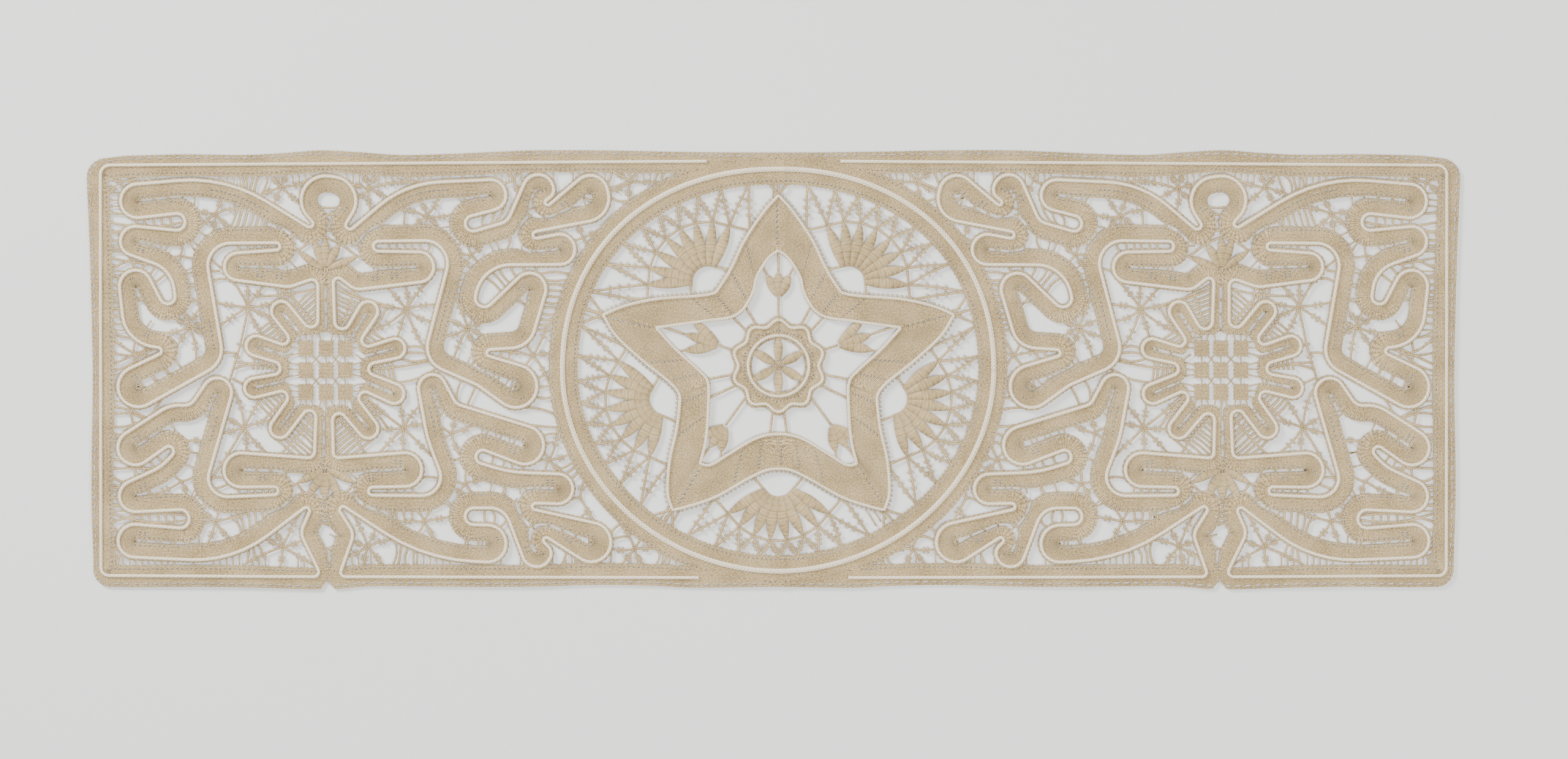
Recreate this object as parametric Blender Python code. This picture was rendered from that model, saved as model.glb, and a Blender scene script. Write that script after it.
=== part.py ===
"""Bobbin lace panel with two scroll panels and a star in a ring, lying flat.

The ground is one cloth outline with its gaps cut through. It is charted in
millimetres the way such lace is pricked out: a thick cord, the gimp, turns
round pegs, a tape of cloth stitch runs along its left side, and bars, spiders
and woven leaves fill what the tapes leave open. The outline of the cloth is
where the chart of distances crosses zero.
"""
import bpy
import numpy as np
from math import atan2, ceil, cos, hypot, pi, radians, sin, sqrt

MM = 0.001
ANTICLOCKWISE = 1
CLOCKWISE = -1

# Thicknesses and widths in millimetres
GROUND_THICKNESS = 1.2
GIMP_WIDTH = 1.7
GIMP_HEIGHT = 1.0
LAYER_GAP = 0.3
TAPE_WIDTH = 8.0
TAPE_RIM = 0.9
BORDER_WIDTH = 10.6
RING_OUTSIDE = 7.0
RING_INSIDE = 8.0
STAR_RIM = 1.2
BAR_HALF = 0.6

# How finely the chart is read, and which gaps are cut, the largest first
CHART_STEP = 0.4
FAR = 30.0
SMALLEST_GAP = 4.0
MOST_GAPS = 298
OUTLINE_TOLERANCE = 0.65

# A spider's leg looks for the cloth from this far off its hub
LEG_START = 2.0

# How coarsely the cords are drawn
CORD_TURN = radians(50.0)
RING_CORD_POINTS = 44
STAR_CORD_STEP = 13.0
STAR_CORNER = 1.6
SHARP_COSINE = -0.6
FLOWER_CORD_POINTS = 30

# Cut edge of the left half of the lace: x, y
TOP_EDGE = [
    (-330, 109.3), (-300, 110), (-270, 109.7), (-250, 110.6), (-230, 112), (-210, 111),
    (-190, 109.7), (-165, 110.2), (-140, 111.3), (-120, 112), (-90, 112), (-60, 111.5),
    (-30, 111), (0, 110.9),
]
LEFT_EDGE = [(-350, 97), (-348.4, 60), (-347, 0), (-347.6, -60), (-346.6, -98)]
BOTTOM_EDGE = [
    (-326, -110.2), (-290, -110), (-260, -110.5), (-236, -111.3), (-231, -111.2), (-227.5, -106.2),
    (-224, -110.6), (-215, -110.4), (-200, -109.6), (-150, -110), (-120, -109.8), (-90, -109),
    (-60, -109.5), (-40, -110.4), (0, -110),
]
NOTCH_POINTS = (4, 5, 6)
TOP_CORNER = (-340.5, 98.5, 9.5)
BOTTOM_CORNER = (-338.0, -101.5, 8.6)

# Pegs of the cord down the outer side of the left panel: x, y, radius, turn
OUTER_PEGS = [
    (-228.6, 87.0, 12.2, ANTICLOCKWISE), (-236.6, 74.9, 1.9, CLOCKWISE),
    (-297.4, 22.6, 74.5, ANTICLOCKWISE), (-324.3, 86.5, 8.6, ANTICLOCKWISE),
    (-304.3, 75.8, 4.3, CLOCKWISE), (-325.5, 66.0, 7.5, ANTICLOCKWISE),
    (-321.0, 40.0, 15.5, CLOCKWISE), (-309.0, 37.8, 3.9, CLOCKWISE),
    (-325.3, 43.0, 8.2, ANTICLOCKWISE), (-314.0, 30.0, 18.0, ANTICLOCKWISE),
    (-313.8, 10.0, 1.8, CLOCKWISE), (-323.9, -8.2, 10.3, ANTICLOCKWISE),
    (-294.0, 11.0, 12.5, ANTICLOCKWISE), (-277.0, 53.5, 11.5, CLOCKWISE),
    (-253.5, 63.3, 1.9, CLOCKWISE), (-273.0, 53.0, 7.0, ANTICLOCKWISE),
    (-248.0, 52.0, 9.2, ANTICLOCKWISE), (-235.5, 43.2, 3.2, CLOCKWISE),
    (-236.0, 25.8, 3.7, CLOCKWISE), (-251.0, 30.3, 5.0, ANTICLOCKWISE),
    (-250.3, 16.4, 3.1, CLOCKWISE), (-263.8, 12.6, 5.1, ANTICLOCKWISE),
    (-254.8, 1.2, 3.3, CLOCKWISE), (-264.8, -8.8, 4.9, ANTICLOCKWISE),
    (-251.0, -13.8, 3.3, CLOCKWISE), (-251.7, -29.3, 5.0, ANTICLOCKWISE),
    (-236.8, -23.8, 3.5, CLOCKWISE), (-237.3, -41.2, 3.3, CLOCKWISE),
    (-271.5, -50.7, 8.7, ANTICLOCKWISE), (-254.6, -61.3, 2.1, CLOCKWISE),
    (-278.5, -54.7, 9.7, CLOCKWISE), (-283.7, -11.2, 7.4, ANTICLOCKWISE),
    (-300.5, -11.5, 6.3, CLOCKWISE), (-303.0, -35.0, 17.3, ANTICLOCKWISE),
    (-325.5, -39.3, 8.8, ANTICLOCKWISE), (-308.4, -41.2, 2.6, CLOCKWISE),
    (-327.5, -28.0, 25.6, CLOCKWISE), (-325.5, -64.0, 8.0, ANTICLOCKWISE),
    (-302.6, -75.6, 4.7, CLOCKWISE), (-325.8, -86.8, 8.4, ANTICLOCKWISE),
    (-295.0, -35.0, 61.5, ANTICLOCKWISE), (-238.3, -71.5, 1.8, CLOCKWISE),
    (-232.5, -82.5, 8.0, ANTICLOCKWISE), (-234.5, -102.5, 2.6, CLOCKWISE),
]
# Pegs of the same cord down the inner side, beside the ring
INNER_PEGS = [
    (-225.2, 86.6, 12.2, CLOCKWISE), (-216.0, 74.2, 2.2, ANTICLOCKWISE),
    (-168.0, 45.0, 51.2, CLOCKWISE), (-144.3, 89.5, 7.8, CLOCKWISE),
    (-153.2, 75.0, 4.0, ANTICLOCKWISE), (-141.0, 82.0, 7.3, ANTICLOCKWISE),
    (-120.0, 92.0, 7.9, CLOCKWISE), (-117.0, 92.3, 4.9, CLOCKWISE),
    (-115.2, 85.7, 1.4, ANTICLOCKWISE), (-93.5, 90.5, 9.0, CLOCKWISE),
    (-96.0, 88.0, 12.0, CLOCKWISE), (-121.0, 69.2, 1.8, ANTICLOCKWISE),
    (-109.0, 61.8, 7.7, CLOCKWISE), (-134.0, 36.0, 18.0, ANTICLOCKWISE),
    (-147.5, 37.0, 4.6, ANTICLOCKWISE), (-124.3, 41.5, 8.2, CLOCKWISE),
    (-134.0, 24.0, 12.5, CLOCKWISE), (-144.5, 9.0, 1.8, ANTICLOCKWISE),
    (-131.5, -8.0, 10.8, CLOCKWISE), (-156.0, -16.0, 10.0, ANTICLOCKWISE),
    (-164.0, 12.0, 12.5, CLOCKWISE), (-178.0, 54.5, 11.8, ANTICLOCKWISE),
    (-201.5, 63.4, 2.6, ANTICLOCKWISE), (-181.0, 52.8, 7.7, CLOCKWISE),
    (-211.0, 49.5, 8.0, CLOCKWISE), (-222.0, 44.8, 2.5, ANTICLOCKWISE),
    (-220.0, 25.0, 3.8, ANTICLOCKWISE), (-206.8, 30.2, 5.0, CLOCKWISE),
    (-206.8, 15.5, 3.2, ANTICLOCKWISE), (-193.0, 11.3, 5.0, CLOCKWISE),
    (-203.3, 0.8, 3.2, ANTICLOCKWISE), (-193.5, -11.8, 5.0, CLOCKWISE),
    (-208.3, -14.0, 3.2, ANTICLOCKWISE), (-206.7, -29.5, 5.0, CLOCKWISE),
    (-221.5, -25.2, 3.4, ANTICLOCKWISE), (-222.0, -42.0, 2.5, ANTICLOCKWISE),
    (-188.0, -50.5, 8.6, CLOCKWISE), (-204.5, -61.5, 2.1, ANTICLOCKWISE),
    (-179.5, -54.0, 9.8, ANTICLOCKWISE), (-118.0, -18.0, 60.5, CLOCKWISE),
    (-174.0, -9.0, 7.0, CLOCKWISE), (-158.0, -12.5, 5.5, ANTICLOCKWISE),
    (-127.0, -38.0, 9.7, CLOCKWISE), (-148.3, -44.0, 3.5, ANTICLOCKWISE),
    (-125.0, 6.5, 58.6, ANTICLOCKWISE), (-110.0, -60.3, 7.6, CLOCKWISE),
    (-121.5, -69.3, 1.7, ANTICLOCKWISE), (-93.0, -87.5, 10.0, CLOCKWISE),
    (-115.9, -86.5, 1.5, ANTICLOCKWISE), (-118.3, -93.2, 4.9, CLOCKWISE),
    (-120.8, -92.6, 7.4, CLOCKWISE), (-144.5, -80.5, 10.5, ANTICLOCKWISE),
    (-153.0, -74.3, 4.3, ANTICLOCKWISE), (-145.8, -88.2, 9.4, CLOCKWISE),
    (-149.0, -7.4, 90.0, CLOCKWISE), (-219.5, -71.0, 1.8, ANTICLOCKWISE),
    (-222.0, -84.0, 7.3, CLOCKWISE), (-218.5, -102.8, 2.3, ANTICLOCKWISE),
]
# The cord goes on round the border to these ends: x, y, radius, turn
BORDER_PEGS = [
    (-339.0, -100.5, 4.0, CLOCKWISE), (-338.5, 100.0, 4.8, CLOCKWISE), (-34.0, 106.8, 0.0, CLOCKWISE),
]
BORDER_START = (-38.0, -105.5, 0.0, ANTICLOCKWISE)
TAPE_STOPS = [(-207.0, -104.6, 0.0, ANTICLOCKWISE), (-250.0, -104.4, 0.0, CLOCKWISE)]

# Ring round the star: centre, half axes, and how square its top and bottom are
RING_CENTRE = (2.3, 0.3)
RING_HALF = (110.0, 102.5)
RING_POWER_TOP = 2.15
RING_POWER_BOTTOM = 1.97
STAR_AXIS = 2.5

# Left half of the star's two edges: x, y, 1 at a corner
STAR_OUTSIDE = [
    (2.5, 89.5, 1), (-5, 81, 0), (-14.5, 67, 0), (-21, 53.5, 0), (-25, 46.5, 0), (-29.5, 39.8, 1),
    (-37, 38.3, 0), (-60, 36.5, 0), (-76, 33, 0), (-87, 28.5, 1), (-80, 17.5, 0), (-66, 4.5, 0),
    (-54, -5, 0), (-48.3, -11.5, 0), (-48, -18, 0), (-49.5, -30, 0), (-53, -46, 0), (-54, -62, 0),
    (-51.5, -71, 1), (-45, -69.5, 0), (-30, -64.5, 0), (-13, -55, 0), (-4, -50.8, 0), (2.5, -50, 0),
]
STAR_INSIDE = [
    (2.5, 61.5, 1), (-3, 57, 0), (-8.5, 48, 0), (-10.5, 40, 0), (-15.5, 31.5, 0), (-22, 27.3, 0),
    (-35, 25.4, 0), (-60, 22, 1), (-50, 11, 0), (-38, 0, 0), (-33.5, -6, 0), (-33.3, -18, 0),
    (-34.5, -35, 0), (-37.5, -47.5, 1), (-32, -48, 0), (-22, -42, 0), (-9, -34.5, 0),
    (2.5, -32.3, 0),
]
# Leaf fans between the arms: direction in degrees, centre x, y
FANS = [(126, -33.5, 45.5), (198, -55.5, -14.5), (270, 2.5, -56.5)]
FAN_LEAVES = 8
FAN_HALF_STEP = 8.2
FAN_FOOT_STEP = 14.8
FAN_BASE = 8.3
FAN_TIP = 30.5
FAN_LEAF_WIDTH = 5.2
# Leaf clusters in the star's corners: direction in degrees, base x, y, length
CLUSTERS = [(90, 2.5, 37.5, 13), (162, -28.0, 13.0, 18), (234, -24.5, -28.0, 14)]
CLUSTER_SPREAD = 27
# Flower in the middle: centre, edges and leaves
FLOWER_CENTRE = (2.5, 2.5)
FLOWER_RADIUS = 23.0
FLOWER_SCALLOP = 1.5
FLOWER_SCALLOPS = 10
FLOWER_HOLE = 14.5
FLOWER_EYE = 3.0
FLOWER_LEAVES = 6

# Solid middle of the rosette: centre and radius
ROSETTE = (-229.0, 0.0, 18.0)
# Close netting that leaves only small holes: x, y to x, y, half width
NETS = [
    (-255.5, 23.5, -250.5, 16.8, 2.2), (-263.0, 2.5, -256.0, 1.5, 2.8), (-256.0, -21.0, -250.5, -15.5, 2.3),
    (-241.0, 31.0, -236.5, 26.0, 4.0), (-251.0, 39.5, -247.0, 40.0, 2.6), (-246.0, -36.5, -237.5, -27.0, 4.2),
    (-215.5, 37.5, -220.0, 26.0, 4.0), (-203.0, 22.5, -207.0, 16.0, 2.2), (-196.0, 2.0, -203.0, 1.0, 2.6),
    (-203.0, -21.5, -208.0, -15.0, 2.3), (-212.5, -37.0, -220.5, -27.0, 4.2),
    (-229.0, 50.0, -229.0, 47.0, 3.0), (-229.0, -50.0, -229.0, -47.0, 3.0),
    (-228.8, -69.0, -228.8, -77.0, 1.5), (-227.2, 80.0, -227.2, 71.0, 4.5),
]
# Woven leaves above and below the rosette: base x, y, tip x, y, width
CALYX = [
    (-230.0, 52.0, -242.5, 61.0, 3.5), (-229.5, 53.0, -234.5, 67.0, 4.0),
    (-228.6, 53.0, -228.6, 68.0, 4.5), (-227.5, 53.0, -221.0, 65.0, 4.0),
    (-227.0, 52.0, -212.0, 58.0, 3.5), (-230.0, -50.5, -243.0, -57.5, 3.5),
    (-229.8, -52.0, -238.0, -65.0, 4.0), (-229.0, -52.0, -229.0, -66.5, 4.5),
    (-228.0, -52.0, -221.0, -65.0, 4.0), (-227.6, -50.5, -213.0, -57.5, 3.5),
]
# Spiders: x, y, then the direction of each leg in degrees. Every other leg is built, because
# the rest would part the cloth into gaps too small to cut.
SPIDERS = [
    (-333.2, 96.0, (15, 100, 165, 225, 290)),
    (-251.0, 93.5, (15, 70, 128, 200, 245, 318)),
    (-284.6, 80.0, (12, 62, 170, 222, 262, 318)),
    (-302.5, 58.5, (80, 190, 260, 350)),
    (-298.0, 22.0, (22, 62, 105, 148, 192, 236, 282, 332)),
    (-268.0, 32.5, (12, 52, 92, 128, 172, 214, 256, 296, 338)),
    (-270.0, -29.0, (15, 60, 105, 150, 195, 238, 275, 312)),
    (-299.0, -36.0, (0, 180)),
    (-302.0, -56.5, (20, 140, 205, 290)),
    (-284.5, -77.0, (15, 75, 140, 190, 250, 310)),
    (-250.5, -90.0, (20, 62, 110, 155, 205, 262, 330)),
    (-334.0, -95.0, (40, 150, 260)),
    (-206.5, 92.5, (8, 60, 110, 165, 222, 275, 335)),
    (-177.0, 78.5, (5, 55, 110, 165, 215, 268, 320)),
    (-154.0, 58.8, (40, 110, 175, 235, 310)),
    (-132.5, 97.0, (55, 120, 200, 285)),
    (-156.0, 21.5, (20, 65, 110, 155, 200, 245, 290, 335)),
    (-187.2, 31.0, (10, 52, 92, 130, 172, 212, 252, 295, 335)),
    (-188.5, -29.5, (12, 55, 98, 140, 182, 225, 268, 315)),
    (-164.0, -32.0, (20, 80, 150, 215, 290)),
    (-157.0, -57.5, (10, 90, 170, 240, 300)),
    (-178.0, -77.0, (10, 60, 120, 180, 240, 300)),
    (-207.0, -90.0, (15, 65, 115, 160, 205, 255, 310)),
    (-122.5, 7.5, (10, 62, 118, 172, 232, 300)),
    (-114.3, -45.5, (15, 75, 130, 185, 250, 315)),
    (-98.5, -65.0, (80, 190, 300)),
    (-73.0, 96.0, (0, 50, 100, 150, 205, 265)),
    (-71.0, -91.0, (0, 60, 120, 180, 230, 300)),
    (-97.0, 67.5, (30, 110, 200, 290)),
]
# Single bars, each through a point and on to the cloth at both ends: x, y, direction in degrees
BARS = [
    (-325.2, 75.8, 90), (-320.6, 75.8, 90), (-316.3, 75.8, 90), (-312, 75.8, 90), (-308, 75.8, 90),
    (-326.5, 55, 78), (-321.5, 52.6, 68), (-317.3, 49.5, 55), (-314.2, 45.8, 38),
    (-327, -75.3, 90), (-322, -75.4, 90), (-318.2, -75.4, 90), (-314.2, -75.5, 90), (-310, -75.5, 90),
    (-306.5, -75.5, 90), (-326, -51.5, 85), (-321.5, -50.3, 100), (-317, -48.6, 115), (-313, -46, 125),
    (-272.5, 63, 90), (-268, 63, 90), (-264, 63, 90), (-260, 63, 90), (-257, 63, 90), (-284, 51, 0),
    (-272.5, -61.5, 90), (-268, -61.5, 90), (-264, -61.5, 90), (-260, -61.5, 90), (-257, -61.5, 90),
    (-284, -54.5, 0), (-284, -60, 20),
    (-142, 42.5, -45), (-139.5, 45.5, -50), (-136.8, 48, -55), (-132.5, 50.5, -65), (-127.5, 52, -80),
    (-121, 52.4, 90), (-196, 63.3, 90), (-192, 63.3, 90), (-188, 63.3, 90), (-184, 63.3, 90),
    (-180, 63, 90), (-176.5, 61.5, 70), (-172, 51, 10), (-196, -61.5, 90), (-192, -61.5, 90),
    (-188, -61.5, 90), (-184, -61.5, 90), (-178, -55.0, 0),
    (-143, -46, 75), (-138, -48, 75), (-133.5, -49.6, 80), (-128, -50.3, 85),
    (-147, -74.5, 90), (-143, -74.5, 95), (-138.5, -78.5, 50),
    (-147.5, 76.5, 75), (-143.5, 77.5, 70), (-139.5, 79.5, 60),
    (-325.5, 11, 90), (-326.5, -24.8, 95), (-321, -24.3, 70), (-315, -20, 60),
    (-334, 88.3, 0), (-334, 84.5, 0), (-334, 80.5, -8), (-335, 75.6, 0), (-335, 71.5, 5),
    (-335, 66.8, 0), (-335, 62.6, 0), (-335, 57, -10), (-334, 53.5, 25), (-335, 48.5, -15),
    (-335, 44, 0), (-335, 40, 0), (-335, 36, 0), (-335, 32, 0), (-335, 28, 0), (-335, 24, 5),
    (-334, 19, -20), (-333, 14.5, -25), (-333, 9.4, 5), (-333, 5.0, 25), (-334, 1.5, 35),
    (-335, -18.5, -20), (-333, -22.8, -8), (-333, -28.0, 12), (-335, -33.5, 0), (-335.6, -38, 0),
    (-335, -42.5, 0), (-334, -46, -10), (-333, -50, 0), (-333, -55.6, -20), (-335, -60, 0),
    (-335, -64.5, 0), (-335, -69, 0), (-334, -73.2, -5), (-334, -76.8, 5), (-335, -81, 0),
    (-335.6, -86, 0), (-335, -90.6, 0),
    (-275, 78, 70), (-272, 78, 75), (-269, 78, 75), (-266, 77.5, 75), (-263, 76.5, 75),
    (-260, 76, 75), (-257, 75.5, 75), (-275, -76, 115), (-271, -76, 100), (-267.5, -76, 95),
    (-264, -76, 95), (-260.5, -75, 95), (-270, 96, 80), (-266.5, 95, 75), (-263.2, 94.2, 70),
    (-260, 93.2, 70), (-268.5, -96, 80), (-265, -95, 95), (-261.5, -94, 105),
    (-285, 45.5, 10), (-275, 8.6, 0), (-275, 0.5, 0), (-276, -4, -25),
    (-187, 96, 80), (-184, 96.5, 85), (-181, 97, 85), (-188.5, 75, 85), (-135, 66, 75), (-147, 58.5, 95),
    (-114.5, 49.2, 0), (-113.5, 46.2, 0), (-113.5, 43.3, 0), (-113.5, 40.6, 0), (-113.5, 37.6, 0),
    (-114.5, 34.6, 0), (-115, 31.8, 0), (-115.5, 29, 0), (-116, 26.3, 0), (-116.5, 23.4, 0),
    (-117, 20.2, -6), (-179, 8.6, 0), (-180, 4.5, 0), (-181, 0.5, 0), (-183, -3, 20),
    (-160, -9.5, 75), (-153.5, -12, 65), (-134, 8.2, 75), (-139, 9, 80),
    (-118, -3, 30), (-118.5, -8.5, 10), (-118, -13.6, 0), (-119, -20.5, -12), (-116, -28.5, -5),
    (-114.5, -33, 10), (-113.5, -37, 20), (-108, -49.5, 25), (-105, -52, 35), (-102.3, -54.5, 45),
    (-184, -74, 95), (-188, -74, 95), (-192, -74, 95), (-196, -73.5, 95), (-190, -93, 80),
    (-193.5, -92.5, 85), (-186.5, -94, 80), (-183, -95, 85), (-106.5, -95, 70), (-101, -98, 85),
    (-82, 88, -10), (-80, 94, 20), (-60, 97.5, 70), (-56.5, 98.5, 72), (-84, 97, 75),
    (-96, -73, 40), (-85.5, -79, 50), (-82, -82, 45), (-80, -86, 15), (-59, -95.5, 75), (-55.5, -98, 70),
]

# Middle of the cut edge's box, which is put at the origin
CENTRE = (0.147, 0.388)

# The ways a line crosses a square of the chart, by which of its corners are in the cloth
MARCHES = {
    1: [("bottom", "left")], 2: [("right", "bottom")], 3: [("right", "left")],
    4: [("top", "right")], 5: [("bottom", "left"), ("top", "right")], 6: [("top", "bottom")],
    7: [("top", "left")], 8: [("left", "top")], 9: [("bottom", "top")],
    10: [("right", "bottom"), ("left", "top")], 11: [("right", "top")], 12: [("left", "right")],
    13: [("bottom", "right")], 14: [("left", "bottom")],
}

# Colours as linear red, green, blue
GROUND_COLOUR = (0.55, 0.46, 0.34)
GIMP_COLOUR = (0.74, 0.66, 0.53)


def smooth_curve(points, step, closed=False, corners=()):
    """Return a Catmull-Rom curve through the points, broken at the corners."""
    points = np.array(points, float)
    count = len(points)
    pieces = []
    for i in range(count if closed else count - 1):
        start, end = points[i], points[(i + 1) % count]
        before = points[i - 1] if closed or i > 0 else 2 * start - end
        after = points[(i + 2) % count] if closed or i + 2 < count else 2 * end - start
        if i in corners:
            before = 2 * start - end
        if (i + 1) % count in corners:
            after = 2 * end - start
        steps = max(1, ceil(hypot(*(end - start)) / step))
        t = (np.arange(steps) / steps)[:, None]
        cubic = (3 * start - before - 3 * end + after) * t ** 3
        square = (2 * before - 5 * start + 4 * end - after) * t ** 2
        pieces.append(0.5 * (2 * start + (end - before) * t + square + cubic))
    curve = np.vstack(pieces)
    return curve if closed else np.vstack([curve, points[-1]])


def arc(corner, start, end, steps=6):
    """Return points of a circle, given as x, y, radius, between two angles in degrees."""
    x, y, radius = corner
    angles = np.radians(np.linspace(start, end, steps + 1))
    return np.c_[x + radius * np.cos(angles), y + radius * np.sin(angles)]


def cut_edge():
    """Return the closed outline of the whole lace, its right half mirrored."""
    left = np.vstack([
        smooth_curve(TOP_EDGE, 8.0)[::-1],
        arc(TOP_CORNER, 100, 178),
        smooth_curve(LEFT_EDGE, 12.0),
        arc(BOTTOM_CORNER, 182, 262),
        smooth_curve(BOTTOM_EDGE, 8.0, corners=NOTCH_POINTS),
    ])
    return np.vstack([left, left[-2:0:-1] * (-1, 1)])


def belt(pegs, turn_step):
    """Return the line of a cord pulled tight round the pegs.

    Between two pegs it is their common tangent. Its heading is the line of
    centres turned back by atan2(k, sqrt(d*d - k*k)), where d is the distance
    and k the difference of the two radii, each signed by its peg's turn.
    """
    headings = []
    for (ax, ay, ar, a_turn), (bx, by, br, b_turn) in zip(pegs[:-1], pegs[1:]):
        shift = b_turn * br - a_turn * ar
        gap = hypot(bx - ax, by - ay)
        lean = atan2(shift, sqrt(max(gap * gap - shift * shift, 0.0)))
        headings.append(atan2(by - ay, bx - ax) - lean)
    line = []
    arrive = [headings[0]] + headings
    leave = headings + [headings[-1]]
    for (x, y, radius, turn), start, end in zip(pegs, arrive, leave):
        sweep = turn * (end - start) % (2 * pi)
        if sweep > 1.8 * pi:
            sweep -= 2 * pi
        steps = max(1, ceil(abs(sweep) / turn_step)) if radius else 0
        for heading in np.linspace(start, start + turn * sweep, steps + 1):
            line.append((x + turn * radius * sin(heading), y - turn * radius * cos(heading)))
    return np.array(line)


def scroll_pegs():
    """Return the pegs of the whole scroll, from the inner foot round to the outer foot."""
    inner = [(x, y, radius, -turn) for x, y, radius, turn in reversed(INNER_PEGS)]
    return inner + OUTER_PEGS


def superellipse(steps):
    """Return the ring: |x/a|**p + |y/b|**p = 1, with its own power p above and below."""
    t = np.linspace(0, 2 * pi, steps, endpoint=False)
    power = np.where(np.sin(t) > 0, RING_POWER_TOP, RING_POWER_BOTTOM)
    scale = (np.abs(np.cos(t)) ** power + np.abs(np.sin(t)) ** power) ** (-1 / power)
    x = RING_CENTRE[0] + RING_HALF[0] * scale * np.cos(t)
    y = RING_CENTRE[1] + RING_HALF[1] * scale * np.sin(t)
    return np.c_[x, y]


def star_edge(table, step):
    """Return a closed edge of the star from its left half."""
    half = [(x, y) for x, y, corner in table]
    corners = [i for i, row in enumerate(table) if row[2]]
    right = [(2 * STAR_AXIS - x, y) for x, y in half[-2:0:-1]]
    last = 2 * (len(half) - 1)
    corners += [last - i for i in corners if i > 0]
    return smooth_curve(half + right, step, True, tuple(corners))


def flower_edge(radius, scallop, steps):
    """Return a round edge whose radius waves in and out once for each scallop."""
    t = np.linspace(0, 2 * pi, steps, endpoint=False)
    r = radius + scallop * np.cos(FLOWER_SCALLOPS * (t - pi / 2))
    return np.c_[FLOWER_CENTRE[0] + r * np.cos(t), FLOWER_CENTRE[1] + r * np.sin(t)]


class Chart:
    """Distance to the nearest cloth on a grid of points, negative inside the cloth."""

    def __init__(self):
        self.x = np.arange(-354.0, 354.0 + CHART_STEP / 2, CHART_STEP)
        self.y = np.arange(-116.0, 116.0 + CHART_STEP / 2, CHART_STEP)
        self.f = np.full((len(self.y), len(self.x)), FAR)

    def near(self, points, margin):
        """Return the rows and columns within a margin of the points, and their places."""
        low = np.min(points, axis=0) - margin
        high = np.max(points, axis=0) + margin
        columns = slice(*np.searchsorted(self.x, (low[0], high[0])))
        rows = slice(*np.searchsorted(self.y, (low[1], high[1])))
        x, y = np.meshgrid(self.x[columns], self.y[rows])
        return (rows, columns), x, y

    def add(self, distance, place=(slice(None), slice(None))):
        """Join a piece of cloth, given by its distances."""
        self.f[place] = np.minimum(self.f[place], distance)

    def bar(self, start, end, half):
        """Join a straight bar with round ends."""
        place, x, y = self.near((start, end), half + 12)
        self.add(to_segment(x, y, start, end)[0] - half, place)

    def leaf(self, start, end, width):
        """Join a woven leaf, whose half width is width/2 * sin(pi*t)**0.6 along it."""
        place, x, y = self.near((start, end), 12)
        length = hypot(end[0] - start[0], end[1] - start[1])
        ux, uy = (end[0] - start[0]) / length, (end[1] - start[1]) / length
        along = (x - start[0]) * ux + (y - start[1]) * uy
        across = np.abs((y - start[1]) * ux - (x - start[0]) * uy)
        t = np.clip(along / length, 0, 1)
        beyond = np.abs(along - t * length)
        self.add(np.hypot(across, beyond) - width / 2 * np.sin(pi * t) ** 0.6, place)

    def at(self, x, y):
        """Read the distance at a point by the nearest grid point."""
        column = int(round((x - self.x[0]) / CHART_STEP))
        row = int(round((y - self.y[0]) / CHART_STEP))
        if 0 <= row < len(self.y) and 0 <= column < len(self.x):
            return self.f[row, column]
        return -1.0

    def reach(self, point, degrees, start=0.0):
        """Go from a point until cloth is met, and return the end, sunk a little into it."""
        ux, uy = cos(radians(degrees)), sin(radians(degrees))
        travel = start
        while travel < 2 * FAR:
            clear = self.at(point[0] + travel * ux, point[1] + travel * uy)
            if clear < 0:
                break
            travel += max(0.2, 0.7 * clear)
        travel += BAR_HALF
        return point[0] + travel * ux, point[1] + travel * uy


def to_segment(x, y, start, end):
    """Return the distance from grid points to a segment, and the side, positive to its left."""
    dx, dy = end[0] - start[0], end[1] - start[1]
    t = np.clip(((x - start[0]) * dx + (y - start[1]) * dy) / max(dx * dx + dy * dy, 1e-9), 0, 1)
    distance = np.hypot(x - start[0] - t * dx, y - start[1] - t * dy)
    return distance, dx * (y - start[1]) - dy * (x - start[0])


def side_distance(chart, line):
    """Return the distance to an open line, positive on its left."""
    best = np.full_like(chart.f, FAR)
    side = np.ones_like(chart.f)
    for start, end in zip(line[:-1], line[1:]):
        place, x, y = chart.near((start, end), TAPE_WIDTH + 6)
        distance, left = to_segment(x, y, start, end)
        closer = distance < best[place] - 1e-9
        best[place] = np.where(closer, distance, best[place])
        side[place] = np.where(closer, np.where(left < 0, -1, 1), side[place])
    return best * side


def inside(line, x, y):
    """Tell which points are inside a closed line, by counting crossings."""
    result = np.zeros(x.shape, bool)
    for (ax, ay), (bx, by) in zip(line, np.roll(line, -1, axis=0)):
        if ay != by:
            result ^= ((ay > y) != (by > y)) & (x < (bx - ax) * (y - ay) / (by - ay) + ax)
    return result


def shape_distance(chart, line):
    """Return the distance to a closed line, negative inside it."""
    best = np.full_like(chart.f, FAR)
    for start, end in zip(line, np.roll(line, -1, axis=0)):
        place, x, y = chart.near((start, end), FAR)
        best[place] = np.minimum(best[place], to_segment(x, y, start, end)[0])
    x, y = np.meshgrid(chart.x, chart.y)
    return np.where(inside(line, x, y), -best, best)


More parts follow.
